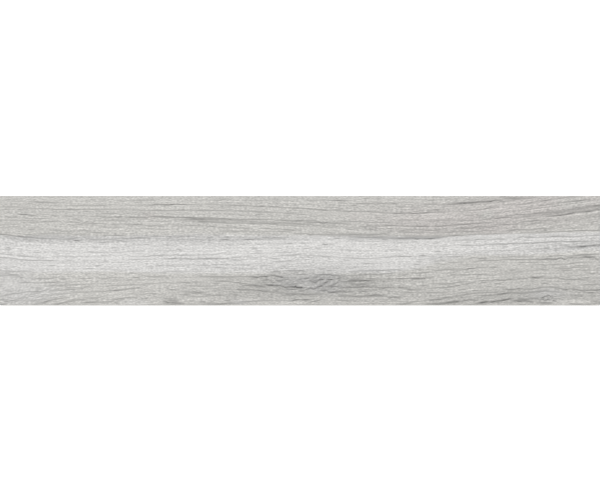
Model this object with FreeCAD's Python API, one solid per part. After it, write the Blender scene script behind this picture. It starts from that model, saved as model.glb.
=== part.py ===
"""Wood look porcelain plank tile: one pressed, printed, fired and edge-ground piece.

Millimetres. X runs along the plank, Y across it and +Z is up, towards the printed face.
The origin is on the back, at the middle of the plank, in the plane that the tile lies on.
The back has shallow drafted pockets, and the ribs left between them key into the adhesive.
"""

import FreeCAD
import Part
import math
import os

# Outline, as ground: a nominal 22 by 120 cm plank
plank_length = 1198.0
plank_width = 218.0
plank_thickness = 9.0

# Bevel that the grinding wheels leave along the four edges of the face
face_bevel = 0.6

# Keying pockets that the press leaves in the back
pocket_length = 25.0
pocket_width = 25.0
pocket_corner = 3.0
pocket_depth = 0.5
pocket_wall_angle = 45.0
rib_width = 3.5
least_border = 10.0


def clipped_rectangle(length, width, corner, height):
    """Closed wire round a rectangle with clipped corners, centred on the Z axis."""
    x = length / 2
    y = width / 2
    quarter = [(x, y - corner), (x - corner, y)]
    half = quarter + [(-px, py) for px, py in reversed(quarter)]
    outline = half + [(-px, -py) for px, py in half]
    points = [FreeCAD.Vector(px, py, height) for px, py in outline]
    return Part.makePolygon(points + points[:1])


def sharp_rectangle(length, width, height):
    """Closed wire round a rectangle centred on the Z axis."""
    x = length / 2
    y = width / 2
    outline = [(x, y), (-x, y), (-x, -y), (x, -y)]
    points = [FreeCAD.Vector(px, py, height) for px, py in outline]
    return Part.makePolygon(points + points[:1])


def ground_blank():
    """The plank with square ground sides and the bevel round its face."""
    bevel_foot = plank_thickness - face_bevel
    back = Part.Face(sharp_rectangle(plank_length, plank_width, 0))
    sides = back.extrude(FreeCAD.Vector(0, 0, bevel_foot))
    bevel = Part.makeLoft(
        [
            sharp_rectangle(plank_length, plank_width, bevel_foot),
            sharp_rectangle(plank_length - 2 * face_bevel, plank_width - 2 * face_bevel, plank_thickness),
        ],
        True,
        True,
    )
    return sides.fuse(bevel).removeSplitter()


def keying_pocket():
    """One pocket, wider at its mouth, so that the press lets go of it."""
    draft = pocket_depth / math.tan(math.radians(pocket_wall_angle))
    corner_at_floor = pocket_corner - draft * (2 - math.sqrt(2))
    mouth = clipped_rectangle(pocket_length, pocket_width, pocket_corner, 0)
    floor = clipped_rectangle(pocket_length - 2 * draft, pocket_width - 2 * draft, corner_at_floor, pocket_depth)
    return Part.makeLoft([mouth, floor], True, True)


def pocket_places(room, pocket):
    """Middles of the most pockets that fit in the room between the borders, centred."""
    pitch = pocket + rib_width
    count = int((room - 2 * least_border + rib_width) // pitch)
    return [(i - (count - 1) / 2) * pitch for i in range(count)]


def keying_pockets():
    """Every pocket of the back, in rows along the plank."""
    pocket = keying_pocket()
    return [
        pocket.translated(FreeCAD.Vector(x, y, 0))
        for y in pocket_places(plank_width, pocket_width)
        for x in pocket_places(plank_length, pocket_length)
    ]


def plank_tile():
    """The whole tile, as one solid."""
    return ground_blank().cut(Part.makeCompound(keying_pockets()))


os.makedirs("parts", exist_ok=True)
plank_tile().exportStep("parts/plank_tile.step")
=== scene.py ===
"""Dresses the wood look porcelain plank tile: its printed and embossed face, ground sides and keying back.

Everything is in metres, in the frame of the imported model: X along the plank, Y across it, +Z out of the
face. Places on the print are in millimetres from its left end and from its upper edge, as one looks at the
face with the plank lying across the view.
"""

import functools
import math

import bpy
import numpy as np
from bpy.props import FloatProperty, FloatVectorProperty, IntProperty, PointerProperty
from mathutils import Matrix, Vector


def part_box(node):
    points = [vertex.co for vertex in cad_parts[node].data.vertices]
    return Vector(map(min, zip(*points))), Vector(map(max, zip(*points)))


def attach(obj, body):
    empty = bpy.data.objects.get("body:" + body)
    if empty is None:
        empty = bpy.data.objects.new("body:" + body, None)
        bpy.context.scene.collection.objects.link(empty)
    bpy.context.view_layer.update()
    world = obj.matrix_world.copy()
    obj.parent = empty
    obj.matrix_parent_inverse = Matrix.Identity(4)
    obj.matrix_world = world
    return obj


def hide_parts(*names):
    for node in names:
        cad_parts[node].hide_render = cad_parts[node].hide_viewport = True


bl_info = {
    "name": "Wood look plank tile",
    "version": (1, 0, 0),
    "blender": (4, 5, 0),
    "location": "3D View > Sidebar > Plank tile",
    "description": "Makes the printed face, ground sides and keying back of a wood look plank tile",
    "category": "Object",
}

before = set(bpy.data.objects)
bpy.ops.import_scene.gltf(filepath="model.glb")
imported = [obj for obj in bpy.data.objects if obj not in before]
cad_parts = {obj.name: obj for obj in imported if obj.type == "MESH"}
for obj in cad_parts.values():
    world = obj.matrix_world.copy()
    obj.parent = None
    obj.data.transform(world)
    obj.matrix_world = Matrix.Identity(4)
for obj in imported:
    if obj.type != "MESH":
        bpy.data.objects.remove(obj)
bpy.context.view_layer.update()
LOW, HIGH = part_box("plank_tile")

MM = 0.001

# The print is drawn for the nominal plank, and the grinding trims its ends by a millimetre each
PRINT_LENGTH = 1200.0

# Lines of the grain from the upper edge down. Each has its place on the scale of rings, then the points
# that it runs through: (along, down). The first and the last run outside the plank.
GRAIN_LINES = [
    (-20, [(0, -16), (300, -14), (600, -10), (750, -5), (900, -5), (1000, -14), (1100, -28), (1200, -45)]),
    (5, [(0, 2), (300, 3), (600, 7), (750, 13), (850, 17), (900, 16), (980, 11), (1060, 0), (1130, -12),
          (1200, -24)]),
    (20, [(0, 14), (300, 17), (400, 18), (500, 20), (600, 25), (700, 31), (800, 35), (880, 32), (970, 25),
          (1120, 5), (1200, -6)]),
    (50, [(0, 43), (300, 42), (376, 43), (500, 47), (600, 50), (690, 55), (760, 60), (868, 61), (958, 56),
          (1048, 51), (1130, 41), (1200, 30)]),
    (60, [(0, 52), (200, 52), (400, 53), (480, 57), (600, 63), (700, 68), (800, 73), (880, 73), (982, 69),
          (1076, 62), (1200, 50)]),
    (72, [(0, 63), (250, 69), (444, 72), (600, 74), (668, 78), (740, 82), (800, 84), (868, 83), (936, 79),
          (1000, 76), (1076, 72), (1200, 68)]),
    (90, [(0, 76), (40, 81), (70, 85), (114, 89), (200, 90), (600, 90), (700, 92), (800, 94), (860, 93),
          (908, 90), (1000, 86), (1200, 79)]),
    (122, [(0, 117), (30, 121), (60, 125), (110, 126), (200, 123), (378, 120), (500, 122), (600, 118),
          (668, 121), (746, 124), (800, 123), (934, 125), (1000, 124), (1100, 121), (1200, 116)]),
    (155, [(0, 150), (100, 152), (300, 154), (448, 159), (510, 161), (564, 160), (620, 156), (728, 149),
          (800, 148), (950, 145), (1058, 148), (1144, 145), (1200, 142)]),
    (178, [(0, 204), (54, 192), (96, 185), (200, 179), (282, 175), (352, 172), (400, 170), (444, 171),
          (490, 175), (532, 178), (600, 181), (644, 181), (720, 177), (800, 178), (860, 179), (920, 177),
          (1000, 168), (1062, 163), (1100, 163), (1160, 167), (1200, 168)]),
    (206, [(0, 236), (60, 225), (112, 215), (166, 205), (260, 202), (400, 203), (500, 206), (780, 208),
          (830, 208), (880, 203), (1000, 191), (1090, 183), (1144, 186), (1200, 188)]),
    (232, [(0, 262), (112, 238), (166, 229), (300, 226), (600, 229), (800, 232), (900, 224), (1000, 212),
          (1090, 204), (1144, 206), (1200, 209)]),
    (260, [(0, 290), (112, 266), (300, 254), (600, 257), (800, 260), (900, 252), (1000, 240), (1090, 232),
          (1200, 237)]),
]

# How far along the corners of those lines are rounded
GRAIN_SOFTNESS = 18.0

# How strongly each kind of streak is printed, against the strength in its table. A thin dark one needs
# more, because the eye evens it out with the wood beside it. The curve brings the faint dark ones out.
DARK_GAIN = 2.55
DARK_CURVE = 0.8
PALE_GAIN = 0.7
STRIPE_GAIN = 0.85
RIBBON_GAIN = 0.9

# How many levels of brightness, from 0 to 255, a tone of 1 stands for
TONE_LEVELS = 200

# How thick the streaks are printed
THIN, THICK, BROAD, WIDE = 2.1, 3.4, 6.0, 9.0

# How long a short mark is
MARK_LENGTH = 5.0

# How a streak runs: how long a bend of it is and how far it strays, then how long its paler and darker
# stretches are, how strong it is in the mean and how far from that they go
BEND_LENGTH, BEND_DEPTH = 13, 0.4
STRETCH_LENGTH, STRETCH_MEAN, STRETCH_DEPTH = 7, 0.9, 0.25

# The faint rim beside a streak: how far it reaches, and how strong it is
RIM_REACH = 2.2
RIM_STRENGTH = 0.45

# How much of the relief's depth comes from the grain itself and from a dark streak, and how much a pale
# streak takes off
GRAIN_SHARE, DARK_SHARE, PALE_SHARE = 0.38, 0.62, 0.3

# The darkness of a streak that is pressed in by its whole share of the depth
DEEPEST = 45.0

# Dark streaks of the print, from the upper edge down, each as the points that it runs through: (along,
# down, darkness). The darkness is given from 0 for none to 255 for black on white.
THIN_STREAKS = [
    # above the long line that starts 19 mm down
    [(24, 11, 5), (38, 11, 15), (52, 12, 10), (70, 12, 15), (82, 13, 25), (99, 13, 25), (120, 13, 10),
     (142, 13, 10)],
    [(234, 9, 10), (262, 10, 10), (282, 9, 20), (303, 9, 20), (314, 9, 5)],
    [(428, 9, 10), (438, 9, 10), (444, 7, 20), (450, 7, 20), (456, 7, 5), (461, 7, 15)],
    [(498, 9, 10), (506, 9, 15), (530, 9, 10), (544, 9, 10), (574, 9, 10)],
    [(614, 9, 10), (640, 9, 15), (666, 9, 20), (674, 9, 40), (688, 9, 35), (694, 9, 15), (702, 9, 5)],
    [(714, 16, 10), (740, 15, 15), (752, 15, 15), (760, 15, 30), (780, 15, 20), (788, 15, 40),
     (793, 15, 15), (800, 13, 15), (830, 13, 5)],
    [(848, 17, 15), (868, 17, 20), (880, 18, 5), (894, 17, 15), (910, 17, 30)],
    [(950, 13, 25), (956, 11, 25), (966, 12, 20), (976, 11, 40), (981, 11, 45), (988, 9, 30), (995, 9, 25),
     (1012, 12, 10)],
    [(1008, 19, 10), (1024, 17, 15), (1040, 17, 20), (1058, 15, 20), (1066, 15, 5)],
    [(1052, 24, 10), (1058, 23, 25), (1064, 22, 30), (1068, 21, 5)],
    [(1054, 14, 5), (1070, 11, 15), (1082, 9, 20), (1090, 9, 45), (1095, 9, 35), (1100, 7, 30),
     (1112, 6, 15), (1118, 5, 30), (1124, 4, 20), (1160, 0, 15)],
    [(1074, 20, 10), (1082, 19, 30), (1088, 19, 25), (1094, 17, 20), (1104, 17, 20), (1112, 16, 5)],
    [(1116, 14, 10), (1130, 12, 15), (1144, 11, 20), (1158, 10, 30), (1164, 9, 20), (1178, 8, 10)],
    # the long line that starts 19 mm down, and the one under it
    [(100, 19, 5), (108, 19, 15), (130, 19, 5), (158, 19, 15), (180, 19, 10), (208, 19, 20), (230, 18, 5),
     (270, 19, 10), (296, 19, 10), (304, 19, 20), (312, 17, 30), (324, 17, 45), (338, 18, 45),
     (350, 17, 40), (367, 17, 40), (374, 18, 15), (384, 17, 20), (400, 17, 10), (412, 17, 20),
     (428, 17, 25), (440, 18, 15), (458, 18, 25), (484, 19, 20), (500, 20, 15), (512, 21, 20),
     (519, 21, 35), (526, 21, 40), (530, 21, 10)],
    [(538, 22, 10), (546, 22, 25), (556, 22, 25), (564, 23, 10), (576, 23, 20), (588, 25, 25),
     (602, 25, 15), (626, 27, 20), (640, 28, 25), (646, 29, 35), (656, 29, 20), (670, 29, 15),
     (684, 31, 20), (695, 31, 40), (704, 31, 25), (736, 32, 10), (758, 33, 20), (780, 36, 15),
     (790, 35, 30), (800, 35, 45), (806, 35, 30), (816, 35, 20), (824, 35, 40), (836, 35, 40),
     (848, 34, 30), (860, 33, 30), (872, 33, 20), (908, 32, 10), (936, 30, 15), (966, 27, 25),
     (972, 25, 35), (984, 23, 20), (994, 22, 10)],
    [(6, 22, 5), (16, 22, 15), (46, 23, 10), (60, 25, 10), (78, 26, 15), (100, 26, 15), (104, 27, 25),
     (139, 27, 30), (150, 28, 20), (164, 27, 15), (200, 27, 15), (236, 27, 15), (260, 27, 15),
     (290, 29, 15), (302, 29, 15), (308, 29, 25), (322, 29, 25), (332, 29, 10), (342, 29, 20),
     (354, 29, 20), (388, 29, 10), (400, 29, 25), (420, 29, 25), (448, 29, 15), (470, 30, 10),
     (512, 31, 15), (516, 32, 30), (524, 33, 25), (542, 33, 20), (560, 33, 10), (570, 35, 15),
     (577, 35, 30), (586, 36, 10), (604, 37, 20), (616, 37, 5)],
    [(650, 23, 10), (666, 22, 10)], [(668, 28, 10), (676, 26, 15), (684, 27, 15), (692, 27, 5)],
    [(622, 39, 10), (630, 41, 20), (636, 40, 10), (648, 39, 10)],
    [(1040, 38, 10), (1056, 37, 10), (1070, 35, 20), (1080, 34, 15), (1104, 32, 15), (1112, 32, 10)],
    [(1010, 42, 10), (1026, 39, 15), (1034, 37, 20), (1040, 37, 5)],
    # between there and the shaded stripe under 43 mm
    [(36, 36, 10), (41, 37, 40), (53, 37, 40), (58, 38, 20), (64, 39, 40), (69, 39, 30), (76, 38, 10),
     (100, 37, 5)],
    [(13, 42, 10), (19, 43, 25), (24, 43, 15), (30, 43, 30), (35, 43, 5)],
    [(50, 45, 10), (66, 45, 10), (80, 45, 20), (90, 45, 10), (104, 45, 5)],
    [(128, 39, 10), (140, 41, 15), (154, 39, 10), (168, 39, 10)],
    [(186, 40, 5), (196, 40, 20), (208, 41, 10)], [(204, 35, 10), (214, 35, 15), (232, 35, 10)],
    [(285, 33, 10), (290, 36, 20), (296, 38, 10), (304, 38, 10)],
    [(208, 43, 10), (216, 43, 15), (222, 43, 30), (229, 43, 10), (235, 43, 30), (242, 42, 30),
     (246, 42, 5)],
    [(256, 43, 10), (262, 43, 45), (268, 43, 40), (278, 44, 15), (284, 43, 10), (290, 44, 25),
     (296, 43, 10), (303, 41, 20), (324, 42, 30), (330, 42, 45), (335, 43, 30), (346, 43, 40),
     (354, 43, 30), (368, 43, 35), (377, 43, 40), (384, 43, 25), (400, 44, 30), (420, 44, 25),
     (452, 45, 30), (460, 47, 45), (466, 47, 25), (484, 47, 20), (500, 47, 15), (508, 47, 30),
     (514, 47, 20), (534, 47, 20), (544, 47, 5)],
    [(0, 49, 10), (30, 49, 10), (56, 49, 15), (76, 49, 5)],
    [(60, 53, 10), (72, 53, 10), (98, 51, 15), (116, 51, 10)],
    [(206, 49, 10), (216, 49, 15), (250, 49, 10)], [(300, 51, 10), (330, 51, 15), (342, 51, 5)],
    [(802, 49, 10), (816, 49, 15), (836, 47, 10)],
    [(858, 51, 10), (876, 50, 15), (908, 49, 10), (942, 49, 15)],
    [(960, 48, 10), (974, 46, 10), (984, 43, 20), (994, 45, 15), (1006, 43, 25), (1012, 43, 20),
     (1020, 42, 5)],
    [(1056, 45, 10), (1066, 45, 20), (1074, 45, 5)],
    [(1048, 52, 10), (1062, 51, 25), (1076, 49, 30), (1084, 49, 15), (1104, 48, 5)],
    # between 50 and 75 mm down
    [(134, 53, 10), (146, 53, 10), (156, 55, 10), (172, 55, 15), (186, 55, 25), (204, 55, 15),
     (214, 55, 5)],
    [(0, 57, 10), (14, 57, 15), (28, 57, 20), (46, 57, 5)],
    [(226, 57, 15), (232, 58, 20), (244, 56, 10), (262, 57, 15), (276, 57, 25), (290, 59, 10),
     (312, 59, 10), (340, 57, 5), (360, 59, 10), (380, 59, 20), (400, 59, 20), (410, 60, 10), (418, 61, 25),
     (426, 61, 30), (434, 61, 5)],
    [(400, 51, 20), (424, 52, 20), (446, 53, 30), (454, 55, 25), (470, 54, 15), (490, 55, 15),
     (504, 55, 25), (516, 55, 15), (534, 55, 25), (544, 56, 25), (549, 56, 40), (554, 56, 15)],
    [(552, 49, 10), (560, 48, 20), (566, 49, 25), (580, 49, 15), (588, 50, 35), (596, 50, 50),
     (602, 50, 45), (607, 49, 25), (620, 49, 20), (629, 49, 25), (636, 50, 5)],
    [(606, 52, 10), (616, 53, 25), (626, 53, 20), (636, 53, 35), (646, 55, 50), (654, 54, 30),
     (666, 55, 25), (682, 55, 25), (694, 57, 20), (702, 57, 5)],
    [(680, 52, 10), (696, 51, 20), (708, 51, 20), (720, 52, 10), (734, 53, 20), (756, 53, 15),
     (780, 53, 10)],
    [(598, 58, 10), (612, 57, 15), (626, 57, 5)],
    [(600, 61, 10), (614, 61, 10), (640, 61, 10), (656, 63, 15), (672, 63, 10)],
    [(720, 61, 10), (730, 61, 25), (740, 60, 30), (748, 61, 15), (764, 61, 10), (772, 59, 15),
     (780, 59, 25), (790, 59, 20), (798, 60, 5)],
    [(798, 60, 10), (812, 61, 20), (826, 61, 15), (834, 61, 30), (848, 61, 30), (856, 61, 20),
     (862, 61, 5)],
    [(864, 61, 10), (870, 61, 15), (877, 61, 45), (882, 61, 40), (888, 60, 20), (900, 59, 25),
     (912, 57, 20), (924, 57, 30), (936, 57, 25), (946, 55, 20), (956, 55, 25), (964, 54, 15),
     (984, 53, 5)],
    [(908, 65, 10), (934, 65, 20), (944, 65, 30), (950, 63, 20), (964, 62, 15), (978, 63, 30),
     (984, 62, 20), (992, 61, 5)],
    [(990, 57, 10), (1002, 57, 15), (1013, 57, 30), (1020, 57, 15), (1034, 56, 15), (1038, 53, 20),
     (1046, 53, 25), (1050, 52, 5)],
    [(1046, 59, 10), (1052, 59, 20), (1060, 57, 15), (1084, 53, 10)],
    [(1104, 61, 10), (1118, 59, 15), (1136, 57, 10), (1152, 55, 5)],
    [(0, 63, 10), (18, 63, 10), (50, 63, 5), (90, 65, 10), (108, 65, 5)],
    [(206, 63, 10), (238, 63, 10), (280, 65, 10), (300, 65, 10), (316, 67, 15), (334, 67, 20),
     (344, 67, 5)],
    [(436, 63, 10), (456, 63, 15), (470, 63, 10), (478, 65, 20), (484, 65, 10), (494, 65, 25),
     (500, 65, 5)],
    [(522, 65, 10), (534, 65, 25), (544, 67, 15), (570, 67, 15), (584, 68, 20), (602, 67, 5)],
    [(100, 68, 10), (120, 70, 15), (140, 71, 10)],
    [(158, 70, 10), (170, 69, 20), (178, 71, 15), (190, 73, 20), (212, 73, 10)],
    [(444, 71, 10), (458, 70, 10), (470, 71, 25), (482, 71, 15), (504, 71, 15), (526, 72, 10),
     (546, 72, 10), (562, 71, 20), (570, 71, 20), (586, 70, 5)],
    [(590, 75, 15), (600, 75, 20), (612, 75, 15), (620, 77, 30), (632, 77, 20), (668, 78, 15),
     (684, 77, 20), (696, 77, 20), (702, 77, 30), (712, 77, 30), (718, 77, 20), (750, 78, 15),
     (760, 76, 25), (770, 75, 20), (780, 75, 5)],
    [(796, 68, 10), (807, 69, 30), (812, 68, 15), (840, 68, 10), (850, 68, 15), (876, 69, 15),
     (888, 67, 5)],
    [(798, 73, 10), (812, 73, 20), (828, 73, 10), (838, 73, 15), (856, 73, 10), (876, 74, 10),
     (900, 73, 25), (916, 72, 10), (926, 71, 15), (937, 71, 30), (956, 71, 20), (968, 69, 25),
     (984, 69, 20), (994, 69, 5)],
    [(1014, 69, 10), (1026, 69, 25), (1034, 67, 20), (1056, 68, 15), (1068, 67, 20), (1082, 65, 25),
     (1096, 66, 15), (1122, 64, 5)],
    [(1130, 65, 10), (1146, 65, 20), (1160, 64, 15), (1174, 63, 5)],
    [(1044, 73, 10), (1080, 73, 10), (1092, 72, 20), (1112, 71, 15), (1130, 71, 20), (1154, 69, 25),
     (1168, 69, 25), (1180, 69, 15), (1190, 69, 25), (1200, 69, 20)],
    # the upper edge of the pale band
    [(80, 76, 10), (94, 75, 10), (118, 75, 5)], [(136, 77, 10), (160, 77, 15), (176, 77, 10)],
    [(0, 77, 35), (14, 78, 25), (20, 79, 30), (30, 81, 25), (40, 81, 30), (50, 83, 20), (62, 83, 15),
     (72, 85, 10), (100, 85, 10), (108, 85, 15), (118, 85, 5)],
    [(134, 86, 10), (140, 86, 15), (149, 85, 25), (154, 84, 5)],
    [(172, 84, 10), (184, 87, 20), (214, 87, 15), (240, 89, 10), (250, 92, 15), (256, 92, 5)],
    [(208, 79, 10), (222, 79, 10), (231, 79, 25), (247, 79, 15)],
    [(244, 85, 10), (262, 85, 10), (272, 83, 20), (292, 83, 20), (300, 83, 5)],
    [(304, 81, 10), (312, 81, 20), (320, 82, 5)],
    [(340, 83, 10), (358, 82, 10), (366, 80, 15), (380, 80, 5)],
    [(444, 87, 20), (450, 87, 25), (455, 87, 35), (459, 87, 5)],
    [(488, 87, 15), (494, 87, 30), (506, 87, 25), (512, 86, 10), (518, 87, 15), (538, 87, 5)],
    [(526, 83, 10), (536, 84, 15), (542, 85, 20), (550, 84, 10), (560, 84, 15), (568, 84, 5)],
    [(738, 83, 10), (748, 83, 20), (768, 82, 15), (778, 85, 15), (790, 85, 25), (800, 85, 35)],
    [(894, 80, 15), (910, 79, 25), (924, 79, 25), (934, 78, 15), (950, 77, 20), (966, 77, 15),
     (1012, 75, 5)],
    # in the pale band
    [(906, 89, 15), (930, 88, 25), (946, 88, 15), (954, 87, 30), (966, 87, 25), (972, 88, 10),
     (994, 86, 20), (1006, 85, 10)],
    [(1030, 85, 10), (1040, 83, 25), (1046, 81, 10), (1050, 83, 25), (1062, 83, 30), (1072, 83, 20),
     (1090, 82, 20), (1100, 82, 15), (1106, 81, 30), (1120, 81, 25), (1150, 81, 15), (1182, 79, 25),
     (1200, 79, 20)],
    [(924, 99, 15), (940, 99, 20), (956, 99, 15), (980, 97, 20), (1000, 96, 30), (1012, 97, 30),
     (1018, 95, 20), (1032, 95, 25), (1056, 95, 25), (1060, 93, 10), (1064, 95, 30), (1074, 93, 25),
     (1086, 93, 25), (1098, 92, 25), (1122, 91, 15), (1152, 91, 30), (1164, 91, 20), (1200, 90, 10)],
    [(880, 101, 10), (890, 101, 15), (900, 100, 5)], [(250, 99, 10), (276, 99, 10), (296, 98, 5)],
    [(0, 107, 10), (18, 107, 10)], [(314, 109, 10), (346, 109, 10)],
    [(776, 107, 10), (790, 107, 20), (802, 107, 5)], [(684, 107, 10), (700, 109, 15), (712, 109, 5)],
    [(1072, 105, 10), (1096, 105, 15)], [(0, 115, 15), (18, 117, 20), (28, 118, 5)],
    [(38, 119, 15), (46, 120, 25), (56, 121, 20), (68, 121, 5)],
    [(0, 123, 20), (12, 123, 30), (20, 124, 20), (50, 128, 15), (60, 129, 15), (74, 129, 20), (80, 128, 30),
     (90, 129, 20), (105, 129, 20), (109, 129, 5)],
    [(108, 121, 10), (124, 120, 15), (146, 121, 10)],
    [(176, 112, 10), (182, 112, 25), (190, 113, 20), (216, 113, 10), (236, 113, 15), (254, 112, 10),
     (284, 110, 10)],
    [(198, 121, 10), (216, 121, 10)],
    [(256, 121, 10), (266, 121, 20), (280, 121, 15), (296, 121, 20), (304, 119, 25), (314, 119, 20),
     (322, 120, 35), (328, 118, 25), (340, 119, 15), (352, 118, 20), (372, 119, 20), (396, 119, 15),
     (430, 117, 20), (444, 115, 10), (458, 113, 5)],
    [(258, 127, 10), (266, 127, 20), (284, 127, 15), (300, 127, 15), (318, 127, 5)],
    [(326, 126, 10), (334, 126, 20), (348, 125, 35), (356, 125, 20), (377, 125, 25), (386, 127, 20),
     (412, 125, 20), (424, 125, 30), (436, 125, 20), (450, 125, 15), (464, 125, 5)],
    [(462, 122, 10), (466, 123, 25), (476, 123, 30), (484, 120, 10), (494, 121, 20), (514, 123, 20),
     (524, 121, 15), (540, 123, 15), (550, 121, 20), (568, 119, 20), (582, 119, 20), (596, 117, 25),
     (604, 118, 10), (620, 119, 20), (634, 120, 15), (656, 121, 30), (662, 121, 15), (676, 123, 10),
     (694, 123, 20), (720, 125, 20), (748, 125, 15)],
    [(754, 124, 10), (764, 123, 20), (776, 123, 20), (790, 121, 10), (800, 121, 20), (812, 121, 30),
     (820, 121, 25), (824, 121, 5)],
    [(460, 129, 10), (480, 129, 20), (485, 129, 5)], [(504, 115, 10), (516, 114, 20), (526, 115, 5)],
    [(552, 113, 10), (580, 113, 15), (590, 113, 5)],
    [(548, 131, 10), (562, 131, 20), (584, 131, 10), (600, 130, 10)],
    [(314, 139, 10), (322, 139, 25), (330, 139, 15), (340, 139, 25), (352, 139, 10), (378, 139, 15),
     (385, 139, 5)],
    [(390, 139, 10), (397, 139, 25), (402, 139, 10), (412, 139, 20), (421, 139, 5)],
    [(474, 137, 10), (492, 137, 15), (520, 134, 10)], [(724, 135, 10), (734, 135, 20), (742, 135, 5)],
    [(836, 127, 15), (858, 125, 10), (868, 125, 20), (880, 123, 20), (886, 125, 10)],
    [(896, 122, 10), (914, 121, 20), (922, 121, 5)],
    [(984, 117, 10), (1002, 117, 20), (1020, 117, 15), (1052, 117, 5)],
    [(984, 122, 15), (1006, 123, 20), (1028, 121, 20), (1042, 121, 15), (1064, 121, 5)],
    [(934, 126, 15), (940, 125, 25), (948, 123, 15), (954, 125, 10), (960, 125, 30), (968, 125, 25),
     (978, 124, 10)],
    [(948, 131, 10), (964, 129, 25), (980, 129, 35), (992, 129, 25), (1010, 127, 30), (1020, 127, 40),
     (1030, 127, 30), (1062, 127, 25), (1078, 127, 30), (1084, 127, 40), (1098, 126, 40), (1112, 127, 45),
     (1116, 125, 30), (1122, 124, 35), (1126, 126, 50), (1130, 127, 40), (1132, 124, 15), (1142, 124, 20),
     (1156, 125, 10)],
    [(1076, 123, 10), (1092, 122, 10), (1100, 121, 30), (1106, 120, 20), (1116, 120, 15), (1124, 119, 25),
     (1134, 121, 20), (1146, 120, 25)],
    # the lower edge of the pale band
    [(0, 149, 15), (40, 151, 10), (64, 151, 5)],
    [(328, 151, 10), (354, 151, 20), (366, 151, 10), (402, 151, 10)],
    [(547, 152, 15), (551, 150, 25), (555, 150, 25), (559, 153, 20)],
    [(572, 149, 10), (578, 149, 30), (592, 149, 20), (600, 149, 30), (606, 150, 25), (611, 150, 5)],
    [(562, 157, 10), (568, 156, 20), (574, 157, 5)],
    [(588, 157, 10), (600, 157, 20), (606, 156, 30), (612, 157, 5)],
    [(630, 157, 10), (640, 157, 20), (648, 156, 25), (660, 157, 25), (664, 159, 30), (676, 159, 20),
     (686, 159, 5)],
    [(700, 151, 10), (714, 151, 10)],
    [(716, 149, 10), (750, 149, 15), (764, 149, 25), (784, 147, 20), (796, 147, 20), (806, 148, 5)],
    [(720, 157, 10), (732, 157, 20), (740, 156, 10), (752, 157, 30), (757, 157, 15), (772, 155, 25),
     (784, 154, 20), (792, 153, 5)],
    [(900, 133, 20), (922, 133, 10)], [(822, 144, 10), (832, 146, 20), (844, 147, 10)],
    [(818, 153, 10), (834, 154, 20), (852, 153, 20), (857, 152, 30), (861, 151, 5)],
    [(866, 150, 10), (876, 149, 20), (888, 147, 30), (896, 147, 25), (908, 147, 25), (916, 147, 15),
     (932, 147, 30), (936, 146, 45), (940, 145, 35), (948, 145, 30), (952, 143, 15), (964, 143, 20),
     (972, 143, 5)],
    [(1054, 133, 10), (1072, 132, 10)], [(1062, 138, 10), (1078, 137, 15), (1090, 139, 30), (1093, 139, 5)],
    [(1098, 137, 15), (1106, 138, 30), (1112, 137, 20), (1130, 137, 15), (1142, 135, 20), (1154, 133, 20),
     (1180, 132, 5)],
    [(1150, 139, 10), (1162, 139, 20), (1174, 138, 10)],
    [(1018, 147, 10), (1024, 148, 25), (1032, 147, 15), (1042, 147, 5)],
    [(1056, 149, 10), (1074, 148, 20), (1080, 147, 30), (1094, 147, 25), (1099, 147, 5)],
    [(1106, 146, 15), (1118, 145, 20), (1130, 145, 30), (1140, 145, 30), (1146, 143, 25), (1170, 143, 20),
     (1186, 143, 10)],
    [(1124, 149, 10), (1136, 149, 25), (1143, 148, 5)], [(1156, 149, 10), (1168, 149, 20), (1180, 148, 10)],
    [(1012, 152, 10), (1030, 153, 15), (1042, 152, 15)], [(1136, 159, 10), (1154, 159, 20), (1170, 158, 5)],
    # below the band, left half
    [(35, 161, 15), (40, 161, 30), (43, 163, 45), (46, 163, 20)],
    [(100, 157, 10), (114, 157, 20), (119, 157, 5)],
    [(74, 165, 10), (80, 165, 15), (96, 165, 15), (104, 164, 20), (114, 163, 5)],
    [(196, 163, 10), (206, 166, 15), (216, 165, 10)], [(216, 163, 10), (232, 163, 15), (244, 164, 5)],
    [(286, 159, 10), (298, 161, 20), (306, 161, 10), (316, 161, 20), (328, 161, 10), (334, 163, 20)],
    [(40, 173, 15), (50, 173, 20), (80, 173, 10), (108, 173, 20), (130, 173, 10), (148, 173, 5)],
    [(98, 179, 10), (108, 178, 20), (118, 179, 15), (146, 177, 10), (160, 177, 15), (178, 176, 5)],
    [(158, 184, 10), (166, 185, 25), (172, 182, 10), (178, 181, 20), (184, 183, 25), (188, 182, 5)],
    [(106, 189, 10), (116, 189, 15), (126, 188, 20), (144, 186, 30), (154, 187, 10)],
    [(4, 200, 10), (14, 198, 15), (28, 195, 25), (36, 195, 20), (44, 193, 20), (60, 191, 15), (72, 191, 30),
     (78, 192, 15), (86, 190, 20), (102, 184, 10)],
    [(148, 193, 10), (164, 192, 15), (174, 193, 25), (182, 192, 15), (194, 191, 20), (206, 191, 25),
     (222, 190, 20), (229, 189, 40), (238, 188, 35), (250, 187, 25), (262, 185, 20), (272, 184, 20),
     (275, 183, 30), (281, 182, 5)],
    [(100, 197, 10), (114, 196, 10), (130, 194, 10), (146, 194, 5)],
    [(56, 202, 10), (66, 200, 10), (86, 199, 10)], [(34, 206, 10), (42, 204, 20), (54, 203, 5)],
    [(104, 207, 15), (114, 205, 20), (124, 204, 20), (134, 202, 10)],
    [(18, 209, 10), (26, 209, 30), (36, 208, 15), (46, 206, 5)],
    [(50, 209, 15), (66, 208, 15), (84, 207, 5)],
    [(170, 203, 10), (194, 203, 20), (204, 201, 10), (216, 201, 10)],
    [(208, 182, 10), (218, 180, 10), (228, 178, 15), (246, 178, 15), (264, 177, 25), (274, 177, 10),
     (292, 177, 10)],
    [(284, 175, 10), (294, 175, 20), (302, 175, 30), (312, 175, 15), (328, 173, 20), (352, 173, 10),
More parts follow.
